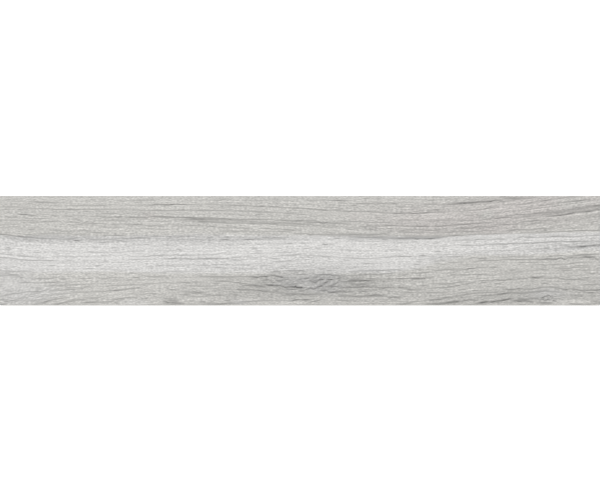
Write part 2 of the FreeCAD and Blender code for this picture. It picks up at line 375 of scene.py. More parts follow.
     (362, 173, 25), (376, 173, 25), (382, 172, 10), (402, 172, 10)],
    [(366, 180, 10), (378, 179, 20), (402, 180, 20), (418, 181, 10)],
    [(338, 186, 15), (342, 187, 40), (347, 187, 25), (352, 187, 10)],
    [(264, 194, 10), (280, 193, 10), (292, 191, 15), (304, 190, 5)],
    [(274, 198, 10), (288, 196, 15), (302, 194, 10)],
    [(366, 202, 10), (378, 201, 15), (404, 201, 20), (416, 200, 10)],
    [(246, 203, 10), (260, 203, 20), (274, 202, 10)],
    [(226, 206, 10), (234, 207, 25), (240, 209, 20), (248, 209, 5)],
    [(214, 211, 10), (222, 211, 25), (228, 210, 10)], [(424, 199, 10), (436, 198, 15), (448, 198, 10)],
    [(420, 169, 10), (440, 170, 20), (450, 170, 35), (460, 171, 25), (468, 173, 25), (479, 173, 50),
     (482, 175, 25), (490, 175, 25), (498, 176, 5)],
    [(479, 187, 30), (484, 187, 20), (506, 187, 20), (512, 189, 10), (520, 189, 25), (528, 191, 20),
     (536, 191, 10), (546, 193, 20)],
    [(484, 211, 15), (490, 211, 20), (498, 211, 30), (506, 210, 20), (518, 209, 15), (560, 209, 10)],
    # the knot at the middle and the wood round it
    [(506, 163, 25), (514, 163, 40), (520, 161, 40), (530, 161, 45), (538, 160, 45), (550, 159, 45),
     (556, 160, 40)],
    [(528, 169, 15), (533, 167, 25), (537, 167, 20), (541, 170, 20), (546, 174, 30), (548, 172, 10)],
    [(514, 174, 10), (522, 174, 20), (530, 172, 10)],
    [(548, 179, 35), (560, 179, 35), (566, 181, 25), (571, 183, 50), (578, 183, 30)],
    [(550, 188, 10), (558, 186, 20), (562, 184, 10)],
    [(568, 187, 10), (578, 187, 20), (586, 187, 35), (592, 187, 15)],
    [(564, 199, 10), (572, 198, 20), (586, 198, 20), (590, 197, 30), (598, 196, 15)],
    [(580, 209, 10), (586, 208, 30), (594, 207, 55), (600, 207, 35), (614, 207, 30), (620, 207, 5)],
    [(620, 169, 20), (624, 172, 30), (630, 173, 25), (634, 171, 30), (637, 168, 15)],
    [(628, 163, 15), (634, 162, 30), (638, 161, 10)], [(672, 166, 10), (678, 165, 30), (682, 163, 15)],
    [(647, 175, 15), (650, 174, 40), (654, 172, 35), (657, 170, 15)],
    [(662, 179, 15), (668, 176, 30), (673, 174, 30), (676, 171, 30), (678, 168, 20)],
    [(600, 189, 25), (608, 189, 30), (614, 186, 25), (620, 184, 30), (628, 186, 35), (634, 183, 30),
     (640, 180, 35), (646, 178, 30), (650, 176, 15)],
    [(658, 181, 15), (664, 181, 35), (669, 181, 15), (674, 181, 20)],
    [(642, 189, 20), (648, 189, 30), (654, 189, 20), (657, 192, 30), (662, 193, 45), (670, 192, 35),
     (673, 192, 10)],
    [(616, 214, 10), (624, 211, 25), (632, 210, 30), (637, 208, 20), (642, 206, 10)],
    [(690, 171, 15), (704, 171, 20)],
    [(718, 169, 30), (722, 169, 55), (736, 169, 55), (742, 169, 25), (754, 168, 10)],
    [(734, 165, 10), (742, 165, 20), (752, 167, 15), (762, 167, 10)],
    [(770, 167, 10), (778, 166, 20), (786, 166, 20), (792, 165, 10), (800, 165, 40), (806, 165, 20),
     (818, 165, 10)],
    [(680, 183, 10), (692, 183, 20), (706, 183, 20), (714, 182, 25), (734, 181, 15), (744, 182, 10)],
    [(755, 182, 15), (758, 186, 30), (762, 185, 20), (768, 184, 25), (776, 182, 15), (792, 184, 10)],
    [(676, 191, 10), (692, 192, 25), (700, 192, 25), (704, 191, 10)],
    [(720, 191, 15), (726, 191, 35), (732, 191, 15)],
    [(776, 203, 15), (781, 203, 55), (786, 202, 40), (793, 203, 30), (802, 203, 10)],
    [(674, 208, 10), (684, 209, 20), (712, 209, 10)],
    # below the band, right half
    [(840, 165, 20), (845, 164, 40), (849, 165, 40), (852, 163, 25), (862, 163, 10)],
    [(954, 169, 10), (966, 169, 20), (980, 170, 20), (990, 168, 25), (1010, 168, 30), (1016, 166, 40),
     (1020, 167, 35)],
    [(886, 176, 10), (900, 175, 20), (920, 172, 20), (932, 171, 10)],
    [(924, 177, 15), (936, 175, 30), (948, 172, 10)],
    [(868, 183, 10), (880, 183, 20), (892, 183, 20), (902, 181, 20), (914, 180, 10)],
    [(812, 193, 15), (820, 193, 30), (826, 193, 15), (838, 193, 20), (846, 192, 10), (866, 193, 20),
     (888, 193, 10)],
    [(918, 194, 10), (928, 193, 20), (938, 192, 10)], [(956, 193, 15), (972, 193, 20), (992, 192, 15)],
    [(910, 200, 10), (920, 199, 20), (930, 197, 30), (942, 195, 20), (958, 194, 10)],
    [(962, 200, 15), (970, 199, 30), (984, 199, 25), (996, 196, 20)],
    [(876, 204, 15), (890, 203, 25), (912, 201, 15), (924, 200, 5)],
    [(848, 209, 15), (856, 207, 25), (870, 207, 25), (878, 207, 35), (886, 205, 20), (904, 203, 15)],
    [(818, 213, 25), (832, 211, 20), (846, 209, 10)],
    [(918, 210, 10), (928, 209, 30), (940, 207, 30), (952, 209, 20)],
    [(1036, 165, 15), (1048, 165, 20), (1054, 164, 15), (1062, 161, 20)],
    [(1090, 164, 10), (1104, 164, 20), (1112, 162, 15), (1120, 165, 20), (1130, 167, 20), (1148, 167, 30),
     (1158, 167, 20), (1176, 168, 10)],
    [(1162, 177, 15), (1172, 177, 30), (1184, 177, 25), (1198, 176, 15)],
    [(1012, 186, 20), (1018, 187, 45), (1026, 187, 30), (1032, 186, 20), (1037, 185, 45), (1041, 186, 20),
     (1058, 186, 20), (1066, 185, 30), (1084, 183, 30), (1100, 182, 25), (1112, 183, 20), (1130, 187, 30),
     (1140, 185, 20), (1152, 187, 30), (1160, 189, 35), (1170, 188, 25), (1188, 188, 35), (1200, 187, 45)],
    [(1092, 191, 10), (1104, 191, 20), (1120, 192, 15)],
    # the eye of the knot near the lower right corner, and the ring round it
    [(1085, 203, 50), (1087, 201, 50), (1090, 200, 40), (1093, 201, 35), (1095, 203, 40)],
    [(1085, 206, 55), (1087, 208, 55), (1090, 209, 45), (1093, 208, 50), (1095, 206, 50)],
    [(1097, 198, 35), (1100, 200, 40), (1103, 203, 40), (1105, 206, 45), (1107, 209, 35)],
    [(1164, 191, 10), (1174, 193, 20), (1182, 193, 30), (1190, 193, 10)],
]
THICK_STREAKS = [
    [(376, 45, 20), (400, 46, 30), (430, 46, 20), (456, 46, 20), (480, 48, 10)],
    [(400, 52, 20), (450, 53, 15)], [(556, 55, 10), (600, 56, 10)], [(556, 59, 10), (592, 59, 10)],
    [(908, 16, 25), (926, 15, 40), (936, 14, 35), (942, 14, 45), (950, 13, 30), (976, 12, 20)],
    [(1004, 2, 10), (1030, 6, 20), (1070, 3, 10)],
    [(696, 77, 14), (712, 77, 22), (740, 77, 14), (770, 75, 8)],
    [(632, 77, 12), (668, 78, 10), (700, 79, 10), (717, 82, 12), (740, 83, 12), (765, 84, 14),
     (785, 84, 16), (800, 85, 20), (816, 85, 18), (829, 84, 25), (834, 86, 35), (842, 84, 22),
     (850, 85, 32), (868, 85, 35), (873, 84, 16), (884, 82, 20), (893, 81, 12)],
    [(812, 82, 14), (846, 82, 12), (880, 80, 8)],
    [(1094, 41, 10), (1104, 40, 25), (1118, 39, 30), (1130, 37, 35), (1146, 34, 50), (1151, 33, 25),
     (1168, 32, 35), (1182, 30, 40), (1190, 28, 25), (1200, 28, 25)],
    [(1174, 20, 15), (1200, 19, 20)],
    [(1126, 99, 10), (1134, 100, 20), (1142, 102, 30), (1150, 101, 25), (1158, 101, 40), (1166, 101, 55),
     (1174, 100, 35), (1184, 99, 45), (1194, 98, 35), (1200, 98, 45)],
    [(1150, 119, 20), (1160, 118, 30), (1172, 118, 30), (1182, 117, 25), (1194, 116, 20)],
    [(1162, 123, 20), (1170, 122, 40), (1178, 123, 50), (1186, 122, 40), (1192, 127, 30)],
    [(0, 154, 10), (20, 155, 10)], [(0, 159, 10), (34, 159, 10)],
    [(400, 160, 10), (430, 161, 15), (452, 161, 20), (502, 161, 20), (512, 162, 30)],
    [(554, 160, 30), (560, 161, 55), (565, 162, 40), (567, 163, 10)],
    [(488, 179, 15), (500, 178, 25), (510, 179, 30), (522, 180, 30), (528, 181, 25)],
    [(530, 176, 25), (536, 178, 50), (541, 178, 55), (546, 178, 40), (550, 179, 25)],
    [(578, 182, 25), (583, 181, 50), (587, 182, 30), (591, 181, 60), (595, 183, 35), (603, 183, 55),
     (606, 183, 10)],
    [(362, 191, 10), (384, 193, 25), (394, 193, 30), (404, 193, 25), (411, 193, 10)],
    [(560, 194, 10), (594, 195, 15), (606, 197, 30), (616, 197, 30), (626, 197, 15), (642, 196, 10)],
    [(700, 169, 25), (708, 169, 30), (719, 168, 25)],
    [(702, 175, 15), (712, 177, 25), (728, 176, 20), (738, 175, 10)],
    [(682, 199, 15), (702, 199, 15), (716, 201, 15), (732, 199, 30), (744, 199, 30), (752, 198, 35),
     (762, 199, 30), (767, 199, 10)],
    [(820, 164, 15), (826, 165, 50), (836, 165, 45), (841, 165, 20)], [(866, 175, 10), (890, 176, 15)],
    [(912, 158, 10), (934, 158, 20)],
    [(800, 183, 20), (810, 184, 20), (818, 187, 35), (834, 187, 20), (844, 186, 10)],
    [(802, 216, 30), (812, 215, 25), (822, 213, 25)],
    [(856, 216, 20), (874, 216, 35), (890, 214, 30), (908, 211, 40), (914, 211, 45), (918, 210, 15)],
    [(955, 213, 15), (962, 213, 55), (972, 211, 55), (978, 211, 40), (984, 211, 65), (990, 210, 35),
     (1004, 208, 45), (1012, 207, 50), (1018, 205, 45), (1023, 205, 20)],
    [(1062, 162, 25), (1066, 163, 45), (1076, 163, 35), (1084, 161, 20)],
    [(996, 197, 25), (1004, 196, 35), (1012, 194, 35), (1022, 193, 20), (1044, 194, 25), (1066, 192, 25),
     (1092, 189, 25), (1100, 191, 10)],
    [(1028, 209, 25), (1042, 209, 25), (1050, 209, 30), (1062, 212, 30)],
    [(1038, 206, 25), (1054, 207, 25)], [(1060, 204, 20), (1072, 204, 15)],
    [(1082, 213, 25), (1100, 214, 30)], [(1142, 216, 25), (1170, 216, 15), (1200, 213, 15)],
    [(70, 216, 10), (84, 213, 15), (92, 211, 25), (98, 209, 30), (104, 208, 25), (112, 206, 15)],
    [(110, 216, 20), (116, 216, 30), (126, 213, 20), (146, 208, 20), (160, 206, 20), (167, 208, 25)],
    [(168, 214, 10), (176, 213, 25), (198, 212, 20), (214, 212, 15)], [(0, 216, 25), (9, 216, 25)],
    [(228, 208, 15), (233, 214, 20)], [(331, 210, 35), (336, 213, 45)], [(332, 205, 20), (352, 206, 20)],
    [(338, 208, 25), (352, 210, 30)], [(346, 213, 30), (366, 215, 15)], [(300, 217, 10), (400, 217, 10)],
    [(402, 216, 10), (446, 216, 20), (457, 213, 15), (484, 213, 10)],
]
SHADED_STRIPES = [
    [(60, 80, 20), (110, 81, 20), (150, 85, 12)],
    [(360, 48, 10), (390, 49, 20), (500, 51, 20), (560, 53, 16), (600, 54, 8)],
    [(620, 77, 6), (702, 79, 8)], [(704, 82, 14), (800, 84, 12), (880, 83, 10), (900, 81, 5)],
    [(1040, 42, 8), (1100, 36, 16), (1150, 27, 20), (1200, 22, 18)],
    [(900, 15, 10), (1000, 10, 14), (1060, 4, 8)], [(504, 179, 10), (531, 180, 10), (604, 183, 2)],
    [(420, 181, 6), (500, 186, 8), (560, 190, 4)],
]

# Soft ribbons, narrower than the shaded stripes: where the wood dims, and where it lightens
DIM_RIBBONS = [
    [(0, 11, 6), (30, 12, 6)], [(150, 12, 6), (200, 11, 14), (230, 11, 8)],
    [(470, 18, 6), (520, 17, 10), (560, 17, 4)], [(750, 25, 6), (800, 28, 8), (850, 29, 4)],
    [(0, 28, 8), (40, 29, 10), (90, 29, 6)], [(440, 32, 6), (490, 33, 8), (540, 34, 4)],
    [(770, 33, 6), (800, 35, 8), (860, 34, 6)], [(240, 42, 8), (280, 41, 10), (330, 43, 8)],
    [(470, 42, 8), (520, 42, 12), (570, 41, 6)], [(1180, 42, 6), (1200, 42, 8)],
    [(970, 46, 8), (1000, 46, 12), (1040, 45, 6)],
    [(680, 48, 6), (720, 50, 12), (760, 51, 10), (800, 53, 4)], [(230, 50, 6), (260, 49, 8), (300, 48, 4)],
    [(620, 54, 10), (650, 54, 12), (670, 52, 6)], [(0, 77, 8), (20, 78, 8)],
    [(720, 78, 8), (750, 78, 12), (780, 77, 6)], [(570, 86, 6), (600, 86, 10), (615, 86, 4)],
    [(700, 88, 12), (740, 89, 16), (790, 89, 12), (820, 89, 4)],
    [(400, 90, 6), (430, 90, 10), (450, 90, 4)],
    [(100, 91, 6), (160, 93, 8), (240, 93, 8), (300, 88, 8), (360, 84, 5)],
    [(0, 92, 12), (30, 96, 8), (120, 98, 10), (140, 98, 4)],
    [(750, 92, 6), (800, 95, 8), (850, 94, 6), (920, 90, 10), (960, 87, 8), (1040, 85, 6)],
    [(180, 95, 6), (230, 97, 8), (280, 93, 4)], [(500, 97, 10), (540, 96, 14), (580, 95, 10)],
    [(340, 98, 8), (400, 98, 12), (470, 98, 8)], [(1150, 102, 6), (1180, 100, 12), (1200, 100, 10)],
    [(1110, 105, 8), (1150, 105, 8), (1180, 102, 4)], [(110, 112, 6), (150, 112, 10), (190, 112, 6)],
    [(860, 115, 4), (890, 115, 10), (920, 114, 8), (960, 112, 10), (1010, 113, 12), (1030, 114, 4)],
    [(1180, 122, 8), (1200, 123, 14)], [(1090, 127, 8), (1120, 127, 14), (1160, 125, 8)],
    [(340, 129, 6), (380, 129, 10), (430, 128, 8)],
    [(90, 142, 8), (140, 142, 6), (240, 143, 10), (280, 144, 4)],
    [(540, 142, 6), (580, 142, 10), (610, 142, 6)],
    [(800, 142, 8), (830, 143, 12), (900, 143, 10), (950, 145, 8)],
    [(440, 149, 6), (480, 148, 8), (500, 148, 4)], [(740, 149, 8), (770, 149, 12), (800, 147, 6)],
    [(740, 152, 8), (775, 153, 12), (800, 152, 4)], [(360, 160, 6), (400, 162, 8), (430, 163, 4)],
    [(1100, 160, 6), (1140, 162, 12), (1180, 163, 14), (1200, 164, 16)],
    [(500, 162, 8), (530, 162, 10), (550, 163, 6)], [(1000, 163, 6), (1030, 162, 10), (1060, 160, 4)],
    [(840, 167, 6), (865, 167, 12), (885, 166, 4)], [(580, 171, 10), (600, 171, 8)],
    [(630, 172, 6), (670, 172, 10), (690, 172, 4)], [(850, 181, 8), (900, 181, 8)],
    [(450, 182, 6), (490, 183, 10), (520, 183, 4)], [(980, 188, 8), (1020, 189, 10), (1060, 187, 4)],
    [(70, 192, 6), (100, 192, 10), (130, 191, 4)], [(650, 192, 4), (700, 190, 8), (750, 189, 4)],
    [(430, 193, 6), (460, 194, 10), (490, 194, 6)], [(1080, 198, 10), (1130, 197, 14), (1200, 199, 20)],
    [(1020, 200, 8), (1070, 200, 12), (1100, 199, 6)], [(900, 203, 6), (950, 203, 10), (1000, 200, 8)],
    [(1010, 215, 8), (1050, 216, 8)], [(900, 216, 10), (930, 214, 14), (970, 216, 12)],
    [(130, 217, 12), (180, 217, 18), (220, 216, 14), (250, 214, 8)],
]
PALE_RIBBONS = [
    [(1100, 10, 10), (1150, 6, 10), (1180, 2, 6)], [(120, 15, 6), (170, 16, 12), (210, 14, 6)],
    [(1170, 17, 6), (1200, 16, 10)], [(980, 30, 6), (1010, 25, 10), (1070, 20, 8)],
    [(1150, 36, 8), (1190, 33, 18), (1200, 33, 20)], [(1100, 42, 6), (1130, 41, 12), (1150, 40, 6)],
    [(360, 43, 6), (400, 43, 12), (450, 44, 12), (520, 46, 10), (560, 47, 6)],
    [(90, 48, 5), (120, 48, 8), (140, 48, 4)], [(170, 50, 5), (210, 50, 8), (240, 50, 4)],
    [(380, 56, 6), (400, 55, 10), (420, 55, 4)], [(60, 61, 6), (100, 61, 8), (130, 61, 4)],
    [(800, 67, 6), (860, 65, 8)], [(240, 68, 6), (300, 67, 10), (360, 70, 8), (430, 72, 6)],
    [(640, 69, 5), (680, 69, 8), (700, 69, 4)], [(460, 76, 6), (510, 75, 12), (550, 74, 6)],
    [(570, 77, 8), (600, 78, 8), (640, 78, 6)], [(690, 78, 6), (730, 76, 12), (760, 76, 6)],
    [(730, 86, 6), (770, 86, 10), (800, 85, 6)], [(1060, 88, 6), (1130, 85, 10), (1180, 83, 8)],
    [(960, 93, 4), (1000, 90, 8), (1040, 87, 6)], [(840, 110, 6), (870, 110, 10), (890, 109, 4)],
    [(0, 113, 8), (20, 115, 6)], [(420, 116, 6), (500, 113, 10), (560, 111, 8)],
    [(100, 119, 6), (150, 118, 8), (200, 118, 4)],
    [(1080, 120, 4), (1130, 117, 14), (1170, 115, 20), (1200, 114, 24)],
    [(940, 122, 4), (980, 123, 8), (1010, 122, 4)], [(260, 124, 6), (290, 124, 8)],
    [(880, 134, 4), (910, 133, 8), (940, 134, 4)], [(630, 135, 6), (660, 135, 10), (690, 136, 6)],
    [(1000, 145, 4), (1050, 143, 8), (1110, 142, 10)],
    [(600, 153, 10), (700, 156, 14), (760, 156, 12), (820, 156, 6)],
    [(100, 155, 6), (180, 155, 8), (250, 154, 6)], [(700, 160, 6), (730, 162, 10), (760, 166, 6)],
    [(1080, 168, 6), (1130, 169, 8), (1170, 169, 6)], [(330, 172, 6), (360, 172, 8), (380, 172, 4)],
    [(840, 172, 8), (870, 173, 14), (890, 172, 6)], [(602, 175, 8), (614, 176, 18), (624, 177, 8)],
    [(500, 176, 6), (540, 177, 12), (570, 177, 6)],
    [(140, 180, 6), (190, 178, 8)], [(1050, 191, 4), (1080, 191, 10), (1100, 191, 4)],
    [(700, 197, 6), (740, 199, 12), (790, 196, 8), (820, 193, 4)],
    [(340, 204, 6), (370, 210, 10), (420, 208, 6)], [(1010, 205, 6), (1040, 207, 10), (1060, 207, 4)],
    [(660, 207, 6), (710, 209, 10), (740, 209, 4)], [(0, 214, 10), (10, 216, 12)],
    [(480, 217, 8), (520, 216, 18), (570, 215, 18), (600, 214, 8)],
]

# Short dark marks, each about as long as a grain of rice: (along, down, darkness)
DARK_MARKS = [
    (48, 23, 10), (108, 39, 15), (149, 46, 15), (155, 47, 20), (63, 67, 25), (60, 91, 10), (85, 93, 10),
    (155, 89, 45), (206, 93, 25), (192, 103, 15), (18, 106, 15), (245, 12, 10), (276, 13, 10),
    (228, 103, 15), (294, 97, 25), (331, 97, 20), (284, 110, 20), (358, 107, 25), (376, 107, 15),
    (413, 43, 20), (435, 79, 20), (453, 82, 15), (420, 83, 20), (486, 97, 25), (520, 97, 20), (580, 95, 20),
    (606, 95, 20), (509, 105, 15), (560, 105, 10), (517, 109, 15), (707, 19, 20), (733, 5, 15),
    (758, 5, 15), (577, 39, 15), (756, 43, 20), (772, 43, 15), (760, 47, 20), (700, 67, 20), (740, 67, 15),
    (780, 65, 20), (658, 73, 15), (769, 87, 20), (674, 85, 25), (663, 87, 10), (650, 97, 45), (663, 97, 15),
    (750, 97, 10), (799, 94, 15), (614, 105, 20), (636, 105, 20), (861, 9, 20), (874, 28, 20),
    (940, 40, 15), (962, 39, 15), (829, 92, 20), (870, 95, 15), (876, 111, 30), (1098, 29, 25),
    (1196, 36, 20), (1010, 102, 25), (1033, 103, 10), (1057, 103, 10), (1094, 103, 20), (1118, 95, 15),
    (75, 113, 20), (139, 129, 15), (105, 139, 20), (197, 139, 30), (27, 141, 10), (182, 145, 15),
    (13, 145, 15), (84, 148, 10), (16, 154, 20), (24, 157, 25), (31, 157, 25), (135, 157, 20),
    (128, 166, 30), (166, 165, 30), (179, 165, 20), (116, 185, 15), (138, 183, 20), (150, 183, 20),
    (5, 207, 25), (13, 211, 30), (90, 197, 15), (212, 131, 15), (301, 141, 15), (207, 145, 10),
    (264, 154, 15), (327, 154, 15), (206, 157, 15), (273, 163, 25), (369, 184, 10), (309, 195, 25),
    (373, 197, 25), (320, 197, 10), (308, 201, 10), (243, 205, 25), (286, 207, 15), (384, 209, 15),
    (405, 211, 30), (458, 116, 30), (578, 129, 20), (546, 125, 15), (430, 137, 20), (444, 137, 15),
    (456, 137, 20), (436, 143, 20), (524, 141, 10), (428, 157, 15), (456, 157, 15), (433, 174, 20),
    (558, 170, 30), (573, 166, 15), (404, 193, 15), (416, 197, 15), (471, 197, 20), (496, 193, 20),
    (455, 209, 30), (473, 207, 15), (694, 129, 20), (680, 139, 10), (643, 146, 20), (659, 149, 20),
    (612, 165, 20), (642, 167, 40), (660, 167, 45), (640, 181, 40), (747, 173, 20), (788, 209, 15),
    (845, 119, 35), (873, 130, 20), (884, 129, 20), (838, 132, 20), (833, 137, 25), (876, 135, 20),
    (887, 137, 20), (987, 142, 30), (811, 157, 25), (906, 157, 20), (948, 157, 25), (959, 157, 30),
    (970, 157, 15), (944, 163, 15), (966, 173, 30), (995, 175, 30), (847, 179, 25), (914, 179, 40),
    (977, 181, 20), (1006, 183, 20), (862, 185, 10), (894, 187, 20), (926, 187, 20), (949, 189, 30),
    (966, 188, 15), (1043, 133, 20), (1184, 155, 30), (1089, 175, 25), (1135, 175, 20), (1172, 163, 20),
    (1196, 145, 15), (1182, 126, 20), (1190, 210, 25), (1192, 175, 15), (1031, 209, 40), (1038, 210, 45),
]

# Pale streaks, each as the points that it runs through: (along, down, brightness)
PALE_STREAKS = [
    [(0, 45, 20), (34, 45, 10)], [(100, 24, 5), (110, 25, 20), (160, 24, 10), (200, 25, 10)],
    [(74, 49, 10), (110, 49, 15), (134, 49, 5)], [(156, 65, 20), (184, 66, 10)],
    [(84, 63, 5), (128, 65, 10)], [(6, 91, 10), (30, 94, 20), (62, 95, 25), (96, 97, 10)],
    [(14, 61, 5), (44, 61, 10)], [(148, 17, 10), (162, 17, 5)],
    [(196, 53, 10), (230, 53, 20), (262, 53, 25), (300, 53, 20), (420, 54, 15), (440, 57, 20),
     (502, 59, 10), (556, 59, 20), (590, 63, 25), (602, 63, 10), (640, 62, 10)],
    [(206, 67, 20), (244, 67, 10)], [(290, 68, 10), (320, 69, 15), (342, 69, 5)],
    [(326, 65, 10), (342, 65, 10)], [(196, 97, 20), (214, 97, 10), (236, 95, 20), (264, 96, 15)],
    [(440, 43, 10), (458, 43, 15), (477, 43, 15), (508, 43, 15)], [(504, 69, 25), (520, 69, 15)],
    [(416, 107, 25), (430, 105, 15), (450, 103, 5)], [(690, 69, 15), (730, 71, 20), (742, 71, 5)],
    [(752, 63, 20), (782, 63, 15)], [(664, 57, 10), (704, 59, 10)], [(700, 35, 20), (716, 35, 15)],
    [(830, 37, 10), (872, 37, 10), (908, 35, 8)],
    [(1060, 46, 15), (1100, 43, 20), (1140, 39, 30), (1168, 36, 20), (1200, 31, 20)],
    [(1060, 88, 5), (1130, 86, 10)], [(1120, 73, 5), (1200, 73, 10)], [(1124, 95, 20), (1138, 95, 20)],
    [(0, 119, 8), (24, 120, 8), (46, 124, 12), (60, 125, 8), (82, 125, 5)],
    [(146, 125, 10), (166, 125, 20), (200, 125, 15)], [(184, 117, 30), (200, 117, 15)],
    [(206, 125, 15), (230, 125, 20), (256, 125, 10)], [(124, 211, 10), (146, 204, 20), (172, 200, 10)],
    [(238, 183, 15), (252, 182, 15)], [(286, 173, 20), (300, 173, 10)], [(342, 185, 25), (349, 184, 25)],
    [(424, 113, 20), (448, 111, 25)], [(474, 117, 25), (484, 119, 25)], [(450, 121, 20), (466, 120, 25)],
    [(526, 124, 25), (540, 125, 20), (552, 122, 20)], [(564, 143, 10), (604, 143, 15)],
    [(556, 157, 30), (566, 157, 20)], [(504, 207, 25), (520, 207, 15)],
    [(540, 163, 20), (548, 167, 40), (553, 172, 35), (556, 175, 15)], [(574, 168, 20), (594, 171, 15)],
    [(600, 178, 15), (612, 181, 35), (626, 181, 30), (630, 178, 15)], [(682, 149, 15), (716, 147, 15)],
    [(686, 155, 25), (700, 155, 15)], [(698, 173, 20), (722, 173, 15)], [(828, 125, 20), (844, 125, 15)],
    [(940, 187, 35), (952, 186, 25)], [(1098, 167, 25), (1118, 167, 15)],
    [(1106, 112, 10), (1160, 112, 20)], [(1114, 209, 25), (1150, 208, 25), (1184, 211, 10)],
    [(1096, 202, 25), (1101, 205, 30)], [(960, 133, 20), (968, 133, 20)], [(1020, 85, 5), (1050, 84, 10)],
]

# Soft patches: middle along, middle down, half length, half height, tone
SHADED_PATCHES = [
    (250, 8, 120, 9, 4), (760, 8, 120, 9, 4), (1015, 6, 30, 8, -5), (1125, 8, 80, 16, 6),
    (1000, 24, 60, 9, 6), (1150, 30, 60, 9, -8), (250, 40, 120, 9, -6), (1000, 38, 50, 6, -4),
    (960, 40, 260, 50, -4), (560, 54, 150, 9, -5), (1060, 54, 150, 9, -4), (820, 104, 110, 9, 5),
    (860, 124, 70, 8, -7), (1120, 101, 100, 7, -6), (560, 86, 90, 5, -6), (780, 74, 90, 4, 5),
    (100, 134, 110, 8, -7), (560, 182, 70, 32, -9), (566, 172, 34, 12, -6), (655, 164, 50, 9, -2),
    (650, 178, 90, 34, -17), (740, 184, 80, 30, -10), (490, 178, 100, 24, -7), (1140, 170, 90, 14, -4),
    (1160, 186, 60, 10, -6), (860, 200, 90, 30, -5), (1000, 200, 120, 22, -9), (1120, 200, 90, 11, -11),
    (30, 214, 50, 5, -6), (620, 166, 90, 9, -5), (800, 152, 100, 8, 6), (1080, 152, 100, 8, -5),
    (1050, 206, 60, 12, -6), (920, 208, 60, 10, -5), (1145, 211, 34, 7, 9), (460, 213, 70, 8, -6),
    (190, 213, 60, 7, 6), (346, 211, 16, 9, -10),
]
WARM_PATCHES = [
    (300, 40, 16, 10, 0.5),
    (712, 41, 14, 9, 0.5),
    (860, 50, 100, 26, 0.9),
    (985, 60, 38, 22, 0.8),
    (1085, 16, 130, 30, 1.0),
]
COOL_PATCHES = [
    (972, 38, 13, 8, 0.6),
    (1142, 14, 27, 10, 0.5),
]
# Where the wood is a plain grey instead of a brownish one
PLAIN_GREY_PATCHES = [
    (15, 182, 60, 34, 0.7),
    (80, 196, 40, 14, 0.5),
    (585, 168, 34, 18, 0.7),
    (650, 172, 36, 20, 0.8),
    (1095, 192, 34, 12, 0.7),
    (478, 212, 14, 6, 0.6),
    (268, 212, 20, 7, 0.5),
]

# The pale band of sapwood: where it turns from brownish to plain grey, where it brightens and where it
# ends, each with (along, down, how softly)
PALE_BAND_TOP = [
    (0, 79, 3), (60, 80, 4), (240, 79, 6), (400, 78, 8), (600, 79, 4), (664, 80, 3), (684, 80, 4),
    (868, 81, 4), (940, 78, 3), (1000, 76, 3), (1200, 71, 4),
]
PALE_BAND_BRIGHT = [
    (0, 87, 12), (40, 89, 9), (90, 91, 7), (200, 92, 6), (300, 90, 9), (420, 93, 10), (500, 90, 8),
    (560, 88, 8), (605, 83, 5), (664, 82, 6), (700, 86, 6), (800, 88, 3), (870, 87, 3), (900, 82, 4),
    (950, 79, 3), (1000, 76, 3), (1100, 73, 4), (1200, 70, 5),
]
PALE_BAND_FOOT = [
    (0, 150, 10), (60, 151, 9), (120, 151, 9), (400, 153, 9), (500, 153, 12), (560, 151, 14),
    (620, 151, 12), (700, 153, 7), (780, 153, 7), (830, 146, 12), (880, 129, 20), (940, 119, 14),
    (1000, 119, 10), (1100, 115, 7), (1200, 107, 7),
]

# By how many levels the pale band is dimmer along its upper edge and towards its right end, and by how
# many the plain grey wood is dimmer than the band
EDGE_DIMS, END_DIMS, PLAIN_GREY_DIMS = 18, 7, 11

# Where the pale band starts to dim towards its right end, and where it has dimmed
DIMMING_START, DIMMING_END = 1000, 1120

# How close together the rings run, against the usual 1. At the first value or under it, the fibres are
# drawn half as thick on the scale of rings, so that they stay thin, and from the second one up as set.
WIDE_RINGS, CLOSE_RINGS = 0.45, 0.8

# Knots: middle along, middle down, half length, half height, how far the grain bends round them
KNOTS = [
    (652, 170, 36, 17, 0.75),
    (346, 212, 20, 12, 0.7),
    (1097, 205, 20, 12, 0.7),
]

# The keying pockets of the back
POCKET = 25.0 * MM
POCKET_CORNER = 3.0 * MM
POCKET_DEPTH = 0.5 * MM
RIB = 3.5 * MM
LEAST_BORDER = 10.0 * MM
CORNER_STEPS = 3


